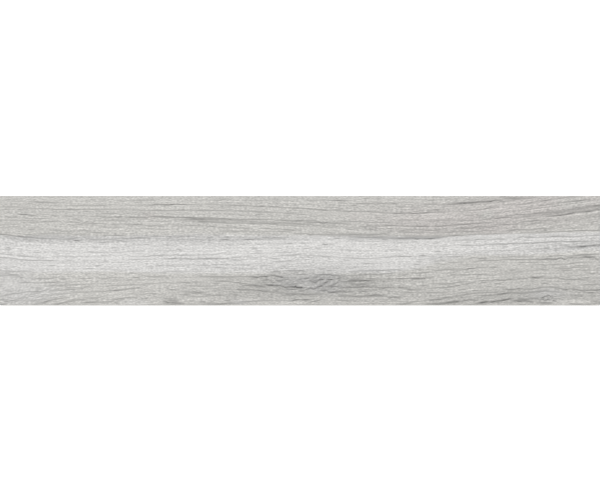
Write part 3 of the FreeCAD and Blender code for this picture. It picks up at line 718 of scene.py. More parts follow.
class PlankTileSettings(bpy.types.PropertyGroup):
    """Sizes and colours of the plank tile."""

    bevel: FloatProperty(
        name="Bevel",
        description="Height and width of the bevel ground round the face",
        default=0.6 * MM,
        min=0.2 * MM,
        max=2 * MM,
        unit="LENGTH",
        subtype="DISTANCE",
        precision=5,
    )
    grain_depth: FloatProperty(
        name="Grain depth",
        description="Depth of the deepest groove that is pressed into the face",
        default=0.22 * MM,
        min=0,
        max=0.5 * MM,
        unit="LENGTH",
        subtype="DISTANCE",
        precision=5,
    )
    fibre_length: FloatProperty(
        name="Fibre length",
        description="Usual length of one fibre of the printed grain",
        default=70 * MM,
        min=5 * MM,
        max=100 * MM,
        unit="LENGTH",
        subtype="DISTANCE",
    )
    fibre_thickness: FloatProperty(
        name="Fibre thickness",
        description="Usual thickness of one fibre of the printed grain",
        default=2.0 * MM,
        min=0.5 * MM,
        max=6 * MM,
        unit="LENGTH",
        subtype="DISTANCE",
    )
    fibre_contrast: FloatProperty(
        name="Fibre contrast",
        description="How strongly the fine fibres are printed",
        default=1.12,
        min=0,
        max=3,
        subtype="FACTOR",
    )
    grey_wood: FloatVectorProperty(
        name="Grey wood",
        description="Colour of the grey wood above and below the pale band",
        default=(0.529, 0.519, 0.493),
        size=3,
        min=0,
        max=1,
        subtype="COLOR",
    )
    pale_wood: FloatVectorProperty(
        name="Pale wood",
        description="Colour of the pale band",
        default=(0.650, 0.642, 0.628),
        size=3,
        min=0,
        max=1,
        subtype="COLOR",
    )
    warm_wood: FloatVectorProperty(
        name="Warm wood",
        description="Colour of the pinkish patches",
        default=(0.516, 0.492, 0.473),
        size=3,
        min=0,
        max=1,
        subtype="COLOR",
    )
    cool_wood: FloatVectorProperty(
        name="Cool wood",
        description="Colour of the greenish grey patches",
        default=(0.500, 0.502, 0.475),
        size=3,
        min=0,
        max=1,
        subtype="COLOR",
    )
    body_colour: FloatVectorProperty(
        name="Fired body",
        description="Colour of the porcelain under the glaze, seen on the sides and the back",
        default=(0.560, 0.530, 0.480),
        size=3,
        min=0,
        max=1,
        subtype="COLOR",
    )
    # The ground edge of the glaze, set darker as painted shade so that the bevel doesn't show as a pale
    # line under the lamp
    glaze_line_with_painted_shade: FloatVectorProperty(
        name="Glaze line",
        description="Colour of the ground edge of the glaze",
        default=(0.545, 0.534, 0.511),
        size=3,
        min=0,
        max=1,
        subtype="COLOR",
    )
    kiln_dust: FloatVectorProperty(
        name="Kiln dust",
        description="Colour of the pale wash that the kiln rollers leave on the ribs of the back",
        default=(0.780, 0.770, 0.740),
        size=3,
        min=0,
        max=1,
        subtype="COLOR",
    )
    columns: IntProperty(
        name="Columns",
        description="Cells of the embossed face along the plank",
        default=400,
        min=40,
        max=800,
    )
    rows: IntProperty(
        name="Rows",
        description="Cells of the embossed face across the plank",
        default=217,
        min=20,
        max=400,
    )


class PlankStageSettings(bpy.types.PropertyGroup):
    """Floor, even light, lamp and camera."""

    floor_colour: FloatVectorProperty(
        name="Floor",
        description="Colour of the floor",
        default=(0.90, 0.90, 0.90),
        size=3,
        min=0,
        max=1,
        subtype="COLOR",
    )
    floor_size: FloatProperty(
        name="Floor size",
        description="Length of the floor's side",
        default=30.0,
        min=2,
        unit="LENGTH",
        subtype="DISTANCE",
    )
    sky_level: FloatProperty(
        name="Sky level",
        description="Even light from all round",
        default=0.56,
        min=0,
        max=2,
    )
    lamp_level: FloatProperty(
        name="Lamp level",
        description="Share of the light on a level surface that comes from the main lamp",
        default=0.42,
        min=0,
        max=2,
    )
    lens: FloatProperty(
        name="Lens",
        description="Focal length of the camera",
        default=85.0,
        min=20,
        max=300,
        subtype="DISTANCE_CAMERA",
    )


# The print

# How many corners the lattice of a cloud has along each side
LATTICE = 512

# How many reaches away a soft average still counts
FARTHEST = 2.5


def soft_weights(step, reach):
    """Weights of an average over the reach, at even steps, and how many of them lie on each side."""
    half = int(round(FARTHEST * reach / step))
    weights = np.exp(-0.5 * (np.arange(-half, half + 1) * step / reach) ** 2)
    return weights / weights.sum(), half


def softened(values, step, reach):
    """Values at even steps along a line, evened out over the reach. The ends run on straight."""
    weights, half = soft_weights(step, reach)
    before = values[0] + (values[1] - values[0]) * np.arange(-half, 0)
    after = values[-1] + (values[-1] - values[-2]) * np.arange(1, half + 1)
    return np.convolve(np.concatenate([before, values, after]), weights, "valid")


def line_through(points, along, reach, column=1):
    """How far down a line lies at each place along the plank, or how soft it is there."""
    table = np.array(points, float)
    return softened(np.interp(along, table[:, 0], table[:, column]), along[1] - along[0], reach)


def smooth_step(x, low, high):
    """From 0 at the low end to 1 at the high end, level at both."""
    t = np.clip((x - low) / (high - low), 0, 1)
    return t * t * (3 - 2 * t)


@functools.lru_cache(maxsize=None)
def lattice(seed):
    """Random numbers for the corners of a cloud's cells."""
    return np.random.default_rng(seed).uniform(-1, 1, (LATTICE, LATTICE))


def cloud(x, y, seed):
    """Smooth random field between -1 and 1, with one cell to a unit. The places that are given to it are
    divided by the length and the height of its cells."""
    table = lattice(seed)
    ix, iy = np.floor(x).astype(int), np.floor(y).astype(int)
    fx, fy = smooth_step(x - ix, 0, 1), smooth_step(y - iy, 0, 1)
    left, right, top, foot = ix % LATTICE, (ix + 1) % LATTICE, iy % LATTICE, (iy + 1) % LATTICE
    upper = table[top, left] * (1 - fx) + table[top, right] * fx
    lower = table[foot, left] * (1 - fx) + table[foot, right] * fx
    return upper * (1 - fy) + lower * fy


def rings_of(along, down):
    """Ring value over the face, in millimetres. It stays the same along a line of the grain."""
    lines = np.array([line_through(points, along, GRAIN_SOFTNESS) for _, points in GRAIN_LINES])
    marks = [mark for mark, _ in GRAIN_LINES]
    rings = np.stack([np.interp(down, lines[:, i], marks) for i in range(len(along))], 1)
    for middle, height, half_length, half_height, bend in KNOTS:
        across = (along[None, :] - middle) / half_length
        deep = (down[:, None] - height) / half_height
        rings -= bend * half_height * deep * np.exp(-(across**2 + deep**2))
    return rings


def streak_field(lines, thickness, along, down):
    """Strength of the strongest streak over the face. Each streak fades out over its reach at both ends."""
    field = np.zeros((len(down), len(along)))
    reach = 0.8 * thickness + 1.5
    for number, line in enumerate(lines):
        at, height, strength = np.array(line, float).T
        cols = slice(*np.searchsorted(along, [at[0] - 2 * reach, at[-1] + 2 * reach]))
        rows = slice(*np.searchsorted(down, [height.min() - 2 * reach, height.max() + 2 * reach]))
        a = along[cols][None, :]
        middle = np.interp(a, at, height) + BEND_DEPTH * cloud(a / BEND_LENGTH, number * 3.7 + 0 * a, 71)
        past = np.maximum(np.maximum(at[0] - a, a - at[-1]), 0)
        patchy = STRETCH_MEAN + STRETCH_DEPTH * cloud(a / STRETCH_LENGTH, number * 5.3 + 0 * a, 72)
        weight = np.interp(a, at, strength) * np.exp(-((past / reach) ** 2)) * patchy
        across = (down[rows][:, None] - middle) / (0.5 * thickness)
        field[rows, cols] = np.maximum(field[rows, cols], weight * np.exp(-(across**2)))
    return field


def rimmed(field, down):
    """Streaks with a faint rim of the opposite tone above and below them, as a sharpened picture prints."""
    weights, half = soft_weights(down[1] - down[0], RIM_REACH)
    padded = np.pad(field, ((half, half), (0, 0)), "edge")
    blurred = sum(weight * padded[k : k + len(field)] for k, weight in enumerate(weights))
    return field + RIM_STRENGTH * (field - blurred)


def patch_field(patches, along, rings, lines_of_middle):
    """Sum of soft patches that are drawn out along the grain."""
    field = np.zeros(rings.shape)
    for (middle, height, half_length, half_height, amount), ring in zip(patches, lines_of_middle):
        across = (along[None, :] - middle) / half_length
        deep = (rings - ring) / half_height
        ragged = 1 + 0.35 * cloud(along[None, :] / 25 + 0 * rings, rings / 5, 90)
        field += amount * np.exp(-0.7 * ragged * (across**2 + deep**2) ** 1.3)
    return field


def knot_mottle(run, deep):
    """Mottled tone of the wood inside the knots."""
    knots = np.zeros(run.shape)
    for middle, height, half_length, half_height, _ in KNOTS:
        far = ((run - middle) / half_length) ** 2 + ((deep - height) / half_height) ** 2
        knots = np.maximum(knots, 1 - smooth_step(far, 0.3, 1.3))
    return knots * (4 * cloud(run / 6, deep / 4, 41) + 5 * cloud(run / 3.4, deep / 2.4, 42))


def dark_streaks(along, down):
    """Every dark streak and mark of the print, the thick ones over the thin ones."""
    half = MARK_LENGTH / 2
    marks = [[(at - half, y, tone), (at + half, y, tone)] for at, y, tone in DARK_MARKS]
    thin = streak_field(THIN_STREAKS + marks, THIN, along, down)
    thick = streak_field(THICK_STREAKS, THICK, along, down)
    return rimmed(np.maximum(thin, thick) ** DARK_CURVE, down)


def print_fields(along, down):
    """Everything that the print and the press leave on the face, each over rows down and columns along."""
    rings = rings_of(along, down)
    run = along[None, :] + 0 * rings

    def ring_at(patch):
        return rings[np.abs(down - patch[1]).argmin(), np.abs(along - patch[0]).argmin()]

    def patches(table):
        return patch_field(table, along, rings, [ring_at(p) for p in table])

    def past(line, deep):
        """From 0 above a line to 1 below it, with the line's own softness."""
        middle = line_through(line, along, 8)[None, :] + 1.5 * cloud(run / 40, rings / 7, 31)
        half = line_through(line, along, 8, 2)[None, :] * (0.5 + 0.2 * cloud(run / 30, rings / 4, 32))
        return smooth_step(deep, middle - half, middle + half)

    deep = down[:, None] + 1.2 * cloud(run / 25, rings / 1.6, 33)
    within = 1 - past(PALE_BAND_FOOT, deep)
    pale = past(PALE_BAND_TOP, deep) * within
    dim = pale * (1 - past(PALE_BAND_BRIGHT, deep))
    fading = pale * smooth_step(run, DIMMING_START, DIMMING_END)
    plain_grey = np.clip(patches(PLAIN_GREY_PATCHES), 0, 1) * (1 - pale)
    drift = 2.0 * cloud(run / 170, rings / 14, 51) + 2.0 * cloud(run / 90, rings / 6, 52)
    zones = -EDGE_DIMS * dim - END_DIMS * fading - PLAIN_GREY_DIMS * plain_grey
    dark = dark_streaks(along, down)
    light = rimmed(streak_field(PALE_STREAKS, THIN, along, down), down)
    stripes = streak_field(SHADED_STRIPES, WIDE, along, down)
    ribbons = streak_field(PALE_RIBBONS, BROAD, along, down) - streak_field(DIM_RIBBONS, BROAD, along, down)
    pressed = 0.5 + 0.3 * cloud(run / 40, rings / 2.6, 61) + 0.2 * cloud(run / 15, rings / 1.9, 62)
    groove = GRAIN_SHARE * pressed + DARK_SHARE * dark / DEEPEST**DARK_CURVE - PALE_SHARE * light / DEEPEST
    closeness = np.gradient(rings, down, axis=0)
    shade = patches(SHADED_PATCHES) + knot_mottle(run, deep) + drift + zones
    shade += RIBBON_GAIN * ribbons + PALE_GAIN * light
    return {
        "grain_run": run * MM,
        "grain_ring": rings * MM,
        "pale": np.clip(pale + plain_grey, 0, 1),
        "warm": np.clip(patches(WARM_PATCHES), 0, 1) * (1 - pale),
        "cool": np.clip(patches(COOL_PATCHES), 0, 1) * (1 - pale),
        "shade": shade / TONE_LEVELS,
        "streak": (DARK_GAIN * dark + STRIPE_GAIN * stripes) / TONE_LEVELS,
        "groove": np.clip(groove, 0, 1),
        "wide_rings": 1 - smooth_step(closeness, WIDE_RINGS, CLOSE_RINGS),
    }


# The shape


def pocket_places(room):
    """Edges of the cells of the keying pockets along a side of the plank, centred."""
    count = int((room - 2 * LEAST_BORDER + RIB) // (POCKET + RIB))
    return (np.arange(count + 1) - count / 2) * (POCKET + RIB)


def pocket_ring(side, corner):
    """Points round a square with rounded corners, anticlockwise as seen from below."""
    middle = side / 2 - corner
    points = []
    for quarter, (sx, sy) in enumerate(((1, -1), (-1, -1), (-1, 1), (1, 1))):
        for step in range(CORNER_STEPS + 1):
            turn = math.radians(90 * quarter + 90 * step / CORNER_STEPS)
            points.append((sx * middle + corner * math.cos(turn), sy * middle - corner * math.sin(turn)))
    return points


class TileShell:
    """Gathers the closed skin of the tile: points, faces, and the finish and flat pattern of each face."""

    def __init__(self):
        self.points = []
        self.faces = []
        self.finishes = []
        self.patterns = []

    def add_points(self, points):
        """Takes the points in and returns their numbers."""
        first = len(self.points)
        self.points.extend(points)
        return list(range(first, len(self.points)))

    def add_face(self, corners, finish, pattern):
        """Takes in a face that runs round the points with these numbers."""
        self.faces.append(tuple(corners))
        self.finishes.append(finish)
        self.patterns.append(pattern)


# Which finish a face has
FACE, SIDE, BACK = 0, 1, 2

# Two places nearer than this, in metres, are the same
ROUNDING = 1e-7


def zip_rows(shell, upper, lower, key, pattern):
    """Closes the strip between two rows of points with triangles. Both rows run the same way."""
    top = foot = 0
    while top < len(upper) - 1 or foot < len(lower) - 1:
        next_top = key(upper[top + 1]) if top < len(upper) - 1 else math.inf
        next_foot = key(lower[foot + 1]) if foot < len(lower) - 1 else math.inf
        if next_top <= next_foot:
            shell.add_face((upper[top], lower[foot], upper[top + 1]), SIDE, pattern)
            top += 1
        else:
            shell.add_face((upper[top], lower[foot], lower[foot + 1]), SIDE, pattern)
            foot += 1


def add_pocket(shell, cell, middle):
    """One drafted pocket and the rib round it, within the four corners of its cell."""
    cx, cy = middle
    mouth = pocket_ring(POCKET, POCKET_CORNER)
    floor = pocket_ring(POCKET - 2 * POCKET_DEPTH, POCKET_CORNER - POCKET_DEPTH)
    low = shell.add_points([(cx + px, cy + py, LOW.z) for px, py in mouth])
    high = shell.add_points([(cx + px, cy + py, LOW.z + POCKET_DEPTH) for px, py in floor])
    around = len(mouth)
    for quarter in range(4):
        first = quarter * (CORNER_STEPS + 1)
        for step in range(CORNER_STEPS):
            shell.add_face((cell[quarter], low[first + step + 1], low[first + step]), BACK, "back")
        last = first + CORNER_STEPS
        after = (last + 1) % around
        shell.add_face((cell[quarter], cell[(quarter + 1) % 4], low[after], low[last]), BACK, "back")
    for k in range(around):
        after = (k + 1) % around
        shell.add_face((low[k], low[after], high[after], high[k]), BACK, "back")
    shell.add_face(high, BACK, "back")


def add_back(shell, xs, ys):
    """The back: a border, and ribs round the pockets. Returns the grid of the points in its plane."""
    grid = [shell.add_points([(x, y, LOW.z) for x in xs]) for y in ys]
    for j in range(len(ys) - 1):
        for i in range(len(xs) - 1):
            cell = (grid[j][i + 1], grid[j][i], grid[j + 1][i], grid[j + 1][i + 1])
            if i in (0, len(xs) - 2) or j in (0, len(ys) - 2):
                shell.add_face(cell, BACK, "back")
            else:
                add_pocket(shell, cell, ((xs[i] + xs[i + 1]) / 2, (ys[j] + ys[j + 1]) / 2))
    return grid


def add_embossed_face(shell, xs, ys, depth):
    """The face as a grid, pressed in by the depth at each point. Returns its point numbers."""
    grid = []
    for j, y in enumerate(ys):
        grid.append(shell.add_points([(x, y, HIGH.z - d) for x, d in zip(xs, depth[j])]))
    middle = (len(xs) - 1) // 2
    for j in range(len(ys) - 1):
        row, above = grid[j], grid[j + 1]
        for i in range(len(xs) - 1):
            half = "face_left" if i < middle else "face_right"
            shell.add_face((row[i], row[i + 1], above[i + 1], above[i]), FACE, half)
    return grid


def add_sides(shell, face, back, bevel):
    """Bevel and ground side along each of the four edges."""
    foot = {}

    def foot_of(point):
        if point not in foot:
            x, y, _ = shell.points[point]
            rim_x, rim_y = HIGH.x - bevel, HIGH.y - bevel
            out_x = x * HIGH.x / rim_x if abs(x) > rim_x - ROUNDING else x
            out_y = y * HIGH.y / rim_y if abs(y) > rim_y - ROUNDING else y
            foot[point] = shell.add_points([(out_x, out_y, HIGH.z - bevel)])[0]
        return foot[point]

    edges = [
        ("front", face[0], back[0], 0, 1),
        ("right", [row[-1] for row in face], [row[-1] for row in back], 1, 1),
        ("rear", face[-1][::-1], back[-1][::-1], 0, -1),
        ("left", [row[0] for row in face][::-1], [row[0] for row in back][::-1], 1, -1),
    ]
    for name, rim, lower, axis, way in edges:
        upper = [foot_of(p) for p in rim]
        for k in range(len(rim) - 1):
            shell.add_face((upper[k], upper[k + 1], rim[k + 1], rim[k]), SIDE, name)
        zip_rows(shell, upper, lower, lambda p: way * shell.points[p][axis], name)


# The flat pattern: the gap between its parts, the height kept free for a side, how far a side is
# stretched, and how high above the foot of its strip it starts before that
PATTERN_GAP = 0.008
SIDE_STRIP = 12 * MM
SIDE_STRETCH = 1.6
SIDE_START = 2 * MM


def flat_pattern(pattern, x, y, z):
    """Place of a corner on the flat pattern that the finish is drawn on, from 0 to 1 each way."""
    gap = PATTERN_GAP
    fine = (1 - 2 * gap) / (HIGH.x - LOW.x) * 2
    coarse = fine / 2
    breadth = HIGH.y - LOW.y
    strip = coarse * SIDE_STRIP
    back_foot = 3 * gap + 2 * fine * breadth
    sides_foot = back_foot + gap + coarse * breadth
    ends_foot = sides_foot + 2 * (gap + strip)
    inwards = min(HIGH.x - abs(x), HIGH.y - abs(y))
    section = coarse * SIDE_STRETCH * (z - LOW.z + inwards + SIDE_START)
    if pattern == "face_left":
        return gap + fine * (x - LOW.x), gap + fine * (y - LOW.y)
    if pattern == "face_right":
        return gap + fine * x, 2 * gap + fine * (breadth + y - LOW.y)
    if pattern == "back":
        return gap + coarse * (HIGH.x - x), back_foot + coarse * (y - LOW.y)
    if pattern == "front":
        return gap + coarse * (x - LOW.x), sides_foot + section
    if pattern == "rear":
        return gap + coarse * (HIGH.x - x), sides_foot + gap + strip + section
    if pattern == "right":
        return gap + coarse * (y - LOW.y), ends_foot + section
    return gap + 0.5 + coarse * (HIGH.y - y), ends_foot + section


# The finishes

# How soft the edge of a speck is, on the scale of its noise
SPECK_EDGE = 0.08

# The layers of the fine grain: how long and how thick a fibre is, against the usual one
LONG_FIBRE = (4.5, 1.15)
FIBRE = (1.0, 0.85)
FLECK = (0.17, 0.85)
PORE = (0.45, 0.9)
GRIT_LENGTH, GRIT_THICKNESS = 5.2 * MM, 1.8 * MM

# How strongly each layer is printed, and how strongly the flecks and the grit break the streaks up
LONG_TONE, FIBRE_TONE, FLECK_TONE, GRIT_TONE, PORE_TONE = 0.044, 0.056, 0.054, 0.080, -0.05
FLECK_BREAKS, GRIT_BREAKS = 0.5, 0.5

# From what tone of its layer a pore starts, and where it is full
PORE_START, PORE_FULL = 0.42, 0.85

# How much the fine grain loses where the rings run wide apart, and how much in the pale band
LOST_WIDE, LOST_PALE = 0.3, 0.12

# How far the fibres waver across the grain, in slow bends and in quick ones
SLOW_WAVER, QUICK_WAVER = 0.7 * MM, 0.4 * MM

# The print grows darker and brighter by this power of its tone, from the least tone up
TONE_POWER = 2.2
LEAST_TONE = 0.05

# Depth of the fine relief in the shading of each finish, and how rough each is
GLAZE_RELIEF, GLAZE_ROUGHNESS = 0.05 * MM, 0.52
GROUND_RELIEF, GROUND_ROUGHNESS = 0.04 * MM, 0.62
BACK_RELIEF, BACK_ROUGHNESS = 0.08 * MM, 0.78

# The cut edge of the glaze on the sides: how thick it is, how soft its foot is and how far that wavers
GLAZE_THICKNESS = 0.45 * MM
GLAZE_FOOT_EDGE = 0.06 * MM
GLAZE_FOOT_WAVER = 0.04 * MM

# How high above the back's plane the kiln dust starts to thin out, and where it ends
DUST_FULL, DUST_END = 0.1 * MM, 0.25 * MM


def add_node(tree, kind, **values):
    """A node whose options are set by name."""
    node = tree.nodes.new(kind)
    for name, value in values.items():
        setattr(node, name, value)
    return node


def feed(tree, socket, value):
    """Gives an input a number, a colour or another node's output."""
    if isinstance(value, bpy.types.NodeSocket):
        tree.links.new(value, socket)
    else:
        socket.default_value = value


def calculate(tree, operation, *inputs):
    """The result of a sum on numbers or other nodes' outputs."""
    node = add_node(tree, "ShaderNodeMath", operation=operation)
    for socket, value in zip(node.inputs, inputs):
        feed(tree, socket, value)
    return node.outputs["Value"]


def weighted(tree, start, *parts):
    """The start plus each part times its weight. Each part is given as (part, weight)."""
    for part, weight in parts:
        start = calculate(tree, "MULTIPLY_ADD", part, weight, start)
    return start


def between(tree, value, low, high, to_low=0.0, to_high=1.0):
    """The value brought smoothly from the range low to high to the range to_low to to_high."""
    node = add_node(tree, "ShaderNodeMapRange", interpolation_type="SMOOTHSTEP")
    given = {"Value": value, "From Min": low, "From Max": high, "To Min": to_low, "To Max": to_high}
    for name, number in given.items():
        feed(tree, node.inputs[name], number)
    return node.outputs["Result"]


def mixed(tree, share, first, second):
    """The first colour at a share of 0, and the second at 1."""
    node = add_node(tree, "ShaderNodeMix", data_type="RGBA")
    feed(tree, node.inputs["Factor"], share)
    feed(tree, node.inputs["A"], first)
    feed(tree, node.inputs["B"], second)
    return node.outputs["Result"]


def brightened(tree, colour, gain):
    """The colour with each of its parts times the gain."""
    node = add_node(tree, "ShaderNodeVectorMath", operation="SCALE")
    feed(tree, node.inputs[0], colour)
    feed(tree, node.inputs["Scale"], gain)
    return node.outputs["Vector"]


def colour_of(value):
    """A colour of the settings as a socket takes it, with nothing see-through."""
    return (*value, 1.0)


def seen_directly(tree):
    """1 for what the camera sees, by itself or in a reflection, and 0 for what lights the object."""
    seen = add_node(tree, "ShaderNodeLightPath").outputs
    mirrored = calculate(tree, "MAXIMUM", seen["Is Glossy Ray"], seen["Is Transmission Ray"])
    return calculate(tree, "MAXIMUM", seen["Is Camera Ray"], mirrored)


def new_effect(name, inputs, output):
    """An empty node group with named inputs, (name, default), and one output."""
    tree = bpy.data.node_groups.new(name, "ShaderNodeTree")
    for label, default in inputs:
        socket = tree.interface.new_socket(label, in_out="INPUT", socket_type="NodeSocketFloat")
        socket.default_value = default
    tree.interface.new_socket(output, in_out="OUTPUT", socket_type="NodeSocketFloat")
    given = add_node(tree, "NodeGroupInput").outputs
    result = add_node(tree, "NodeGroupOutput").inputs[0]
    return tree, given, result


def effect(tree, group, **values):
    """Places a node group and feeds its inputs by name."""
    node = add_node(tree, "ShaderNodeGroup", node_tree=group)
    for name, value in values.items():
        feed(tree, node.inputs[name], value)
    return node.outputs[0]


def drawn_out_grain():
    """Group: random tone, from about -1 to 1, drawn out along the run and thin across it."""
    inputs = [
        ("Run", 0.0),
        ("Across", 0.0),
        ("Length", 20 * MM),
        ("Thickness", 2 * MM),
        ("Seed", 0.0),
        ("Detail", 1.0),
    ]
    tree, given, result = new_effect("Drawn-out grain", inputs, "Tone")
    place = add_node(tree, "ShaderNodeCombineXYZ")
    feed(tree, place.inputs["X"], calculate(tree, "DIVIDE", given["Run"], given["Length"]))
    feed(tree, place.inputs["Y"], calculate(tree, "DIVIDE", given["Across"], given["Thickness"]))
    feed(tree, place.inputs["Z"], given["Seed"])
    noise = add_node(tree, "ShaderNodeTexNoise", noise_dimensions="3D")
    feed(tree, noise.inputs["Vector"], place.outputs["Vector"])
    feed(tree, noise.inputs["Scale"], 1.0)
    feed(tree, noise.inputs["Detail"], given["Detail"])
    feed(tree, noise.inputs["Roughness"], 0.55)
    feed(tree, result, calculate(tree, "MULTIPLY_ADD", noise.outputs["Fac"], 4.0, -2.0))
    return tree


def fired_speckle():
    """Group: small specks of the fired body, 0 between them and 1 on them."""
    inputs = [("Size", 1 * MM), ("Share", 0.25), ("Seed", 0.0)]
    tree, given, result = new_effect("Fired speckle", inputs, "Speck")
    place = add_node(tree, "ShaderNodeTexCoord")
    shifted = add_node(tree, "ShaderNodeVectorMath", operation="ADD")
    feed(tree, shifted.inputs[0], place.outputs["Object"])
    feed(tree, shifted.inputs[1], given["Seed"])
    noise = add_node(tree, "ShaderNodeTexNoise", noise_dimensions="3D")
    feed(tree, noise.inputs["Vector"], shifted.outputs["Vector"])
    feed(tree, noise.inputs["Scale"], calculate(tree, "DIVIDE", 1.0, given["Size"]))
    feed(tree, noise.inputs["Detail"], 1.0)
    # The noise seldom leaves the range from 0.25 to 0.75. A larger share starts the specks lower in it.
    low = weighted(tree, 0.75, (given["Share"], -0.5))
    feed(tree, result, between(tree, noise.outputs["Fac"], low, calculate(tree, "ADD", low, SPECK_EDGE)))
    return tree


def new_finish(name):
    """An empty material with its shader. Returns the material, its node tree and the shader."""
    finish = bpy.data.materials.new(name)
    finish.use_nodes = True
    tree = finish.node_tree
    tree.nodes.clear()
    shader = add_node(tree, "ShaderNodeBsdfPrincipled")
    output = add_node(tree, "ShaderNodeOutputMaterial")
    tree.links.new(shader.outputs["BSDF"], output.inputs["Surface"])
    return finish, tree, shader


def raised(tree, shader, height, depth):
    """Fine relief in the shading: height from 0 to 1 is the depth in metres."""
    bump = add_node(tree, "ShaderNodeBump")
    feed(tree, bump.inputs["Strength"], 1.0)
    feed(tree, bump.inputs["Distance"], depth)
    feed(tree, bump.inputs["Height"], height)
    tree.links.new(bump.outputs["Normal"], shader.inputs["Normal"])


def place_on_tile(tree):
    """Where a point lies on the tile: along X, along Y and up Z."""
    place = add_node(tree, "ShaderNodeSeparateXYZ")
    tree.links.new(add_node(tree, "ShaderNodeTexCoord").outputs["Object"], place.inputs["Vector"])
    return place.outputs["X"], place.outputs["Y"], place.outputs["Z"]


def painted(tree, name):
    """What the print holds at each point under this name."""
    return add_node(tree, "ShaderNodeAttribute", attribute_name=name).outputs["Fac"]


def printed_glaze(settings, grain, speckle):
    """Matt glaze with the wood print under it."""
    finish, tree, shader = new_finish("printed matt glaze")
    run, ring, wide_rings = (painted(tree, name) for name in ("grain_run", "grain_ring", "wide_rings"))

    def layer(across, length, thickness, seed, detail=0.0):
        """Tone drawn out along the grain."""
        sizes = {"Length": length, "Thickness": thickness}
        return effect(tree, grain, Run=run, Across=across, Seed=seed, Detail=detail, **sizes)

    slow = layer(ring, 34 * MM, 11 * MM, 3.1, 1.0)
    quick = layer(ring, 9 * MM, 6 * MM, 5.7, 1.0)
    wavy = weighted(tree, ring, (slow, SLOW_WAVER), (quick, QUICK_WAVER))

    def size_of(kind):
        return kind[0] * settings.fibre_length, kind[1] * settings.fibre_thickness

    def even_layer(kind, seed, detail):
        """Fibres that stay as thin where the rings run wide apart as where they run close together."""
        length, thickness = size_of(kind)
        close = layer(wavy, length, thickness, seed, detail)
        wide = layer(wavy, length, thickness / 2, seed, detail)
        return weighted(tree, close, (calculate(tree, "SUBTRACT", wide, close), wide_rings))

    long = even_layer(LONG_FIBRE, 11.0, 0.0)
    fibre = even_layer(FIBRE, 17.0, 1.0)
    fleck = layer(wavy, *size_of(FLECK), 23.0)
    grit = layer(wavy, GRIT_LENGTH, GRIT_THICKNESS, 29.0)
    pore = between(tree, layer(wavy, *size_of(PORE), 41.0), PORE_START, PORE_FULL)
    broken = weighted(tree, 1.0, (fleck, FLECK_BREAKS), (grit, GRIT_BREAKS))
    streak = calculate(tree, "MULTIPLY", painted(tree, "streak"), broken)
    pale = painted(tree, "pale")
    strength = weighted(tree, settings.fibre_contrast, (wide_rings, -LOST_WIDE), (pale, -LOST_PALE))
    fibres = ((long, LONG_TONE), (fibre, FIBRE_TONE), (fleck, FLECK_TONE), (grit, GRIT_TONE))
    fine = weighted(tree, 0.0, *fibres, (pore, PORE_TONE))
    shade = calculate(tree, "ADD", painted(tree, "shade"), 1.0)
    tone = weighted(tree, shade, (fine, strength), (streak, -1.0))
    gain = calculate(tree, "POWER", calculate(tree, "MAXIMUM", tone, LEAST_TONE), TONE_POWER)
    wood = mixed(tree, pale, colour_of(settings.grey_wood), colour_of(settings.pale_wood))
    wood = mixed(tree, painted(tree, "warm"), wood, colour_of(settings.warm_wood))
    wood = mixed(tree, painted(tree, "cool"), wood, colour_of(settings.cool_wood))
    feed(tree, shader.inputs["Base Color"], brightened(tree, wood, gain))
    pinhole = effect(tree, speckle, Size=1.1 * MM, Share=0.12, Seed=4.0)
    rough = weighted(tree, GLAZE_ROUGHNESS, (streak, 0.6), (fleck, 0.03), (pinhole, 0.06))
    feed(tree, shader.inputs["Roughness"], rough)
    raised(tree, shader, weighted(tree, 0.5, (fibre, 0.25), (fleck, 0.2), (pore, -0.3)), GLAZE_RELIEF)
    return finish


def ground_body(settings, grain, speckle):
    """The four sides: fired body ground by the wheels, with the cut edge of the glaze at the top in painted
    shade.
    """
    finish, tree, shader = new_finish("ground porcelain body")
    x, y, height = place_on_tile(tree)
    run = calculate(tree, "ADD", x, y)
    line = {"Run": run, "Across": height, "Length": 24 * MM, "Thickness": 0.45 * MM}
    marks = effect(tree, grain, Seed=2.0, Detail=2.0, **line)
    tremor = {"Run": height, "Across": run, "Length": 6 * MM, "Thickness": 1.6 * MM}
    chatter = effect(tree, grain, Seed=6.0, Detail=1.0, **tremor)
    specks = effect(tree, speckle, Size=0.8 * MM, Share=0.3, Seed=9.0)
    tone = weighted(tree, 1.0, (marks, 0.035), (chatter, 0.02), (specks, -0.10))
    body = brightened(tree, tuple(settings.body_colour), tone)
    waver = effect(tree, grain, Run=run, Length=12 * MM, Thickness=1.0, Seed=8.0, Detail=1.0)
    level = weighted(tree, height, (waver, GLAZE_FOOT_WAVER))
    glaze_foot = HIGH.z - GLAZE_THICKNESS
    glaze = between(tree, level, glaze_foot - GLAZE_FOOT_EDGE, glaze_foot + GLAZE_FOOT_EDGE)
    # The cut edge of the glaze takes the glaze line colour, darkened as painted shade so the lit bevel
    # doesn't read as a pale line
    feed(tree, shader.inputs["Base Color"], mixed(tree, glaze, body, colour_of(settings.glaze_line_with_painted_shade)))
    rough = weighted(tree, GROUND_ROUGHNESS, (marks, 0.05), (glaze, -0.22))
    feed(tree, shader.inputs["Roughness"], rough)
    raised(tree, shader, weighted(tree, 0.5, (marks, 0.3), (chatter, 0.15)), GROUND_RELIEF)
    return finish


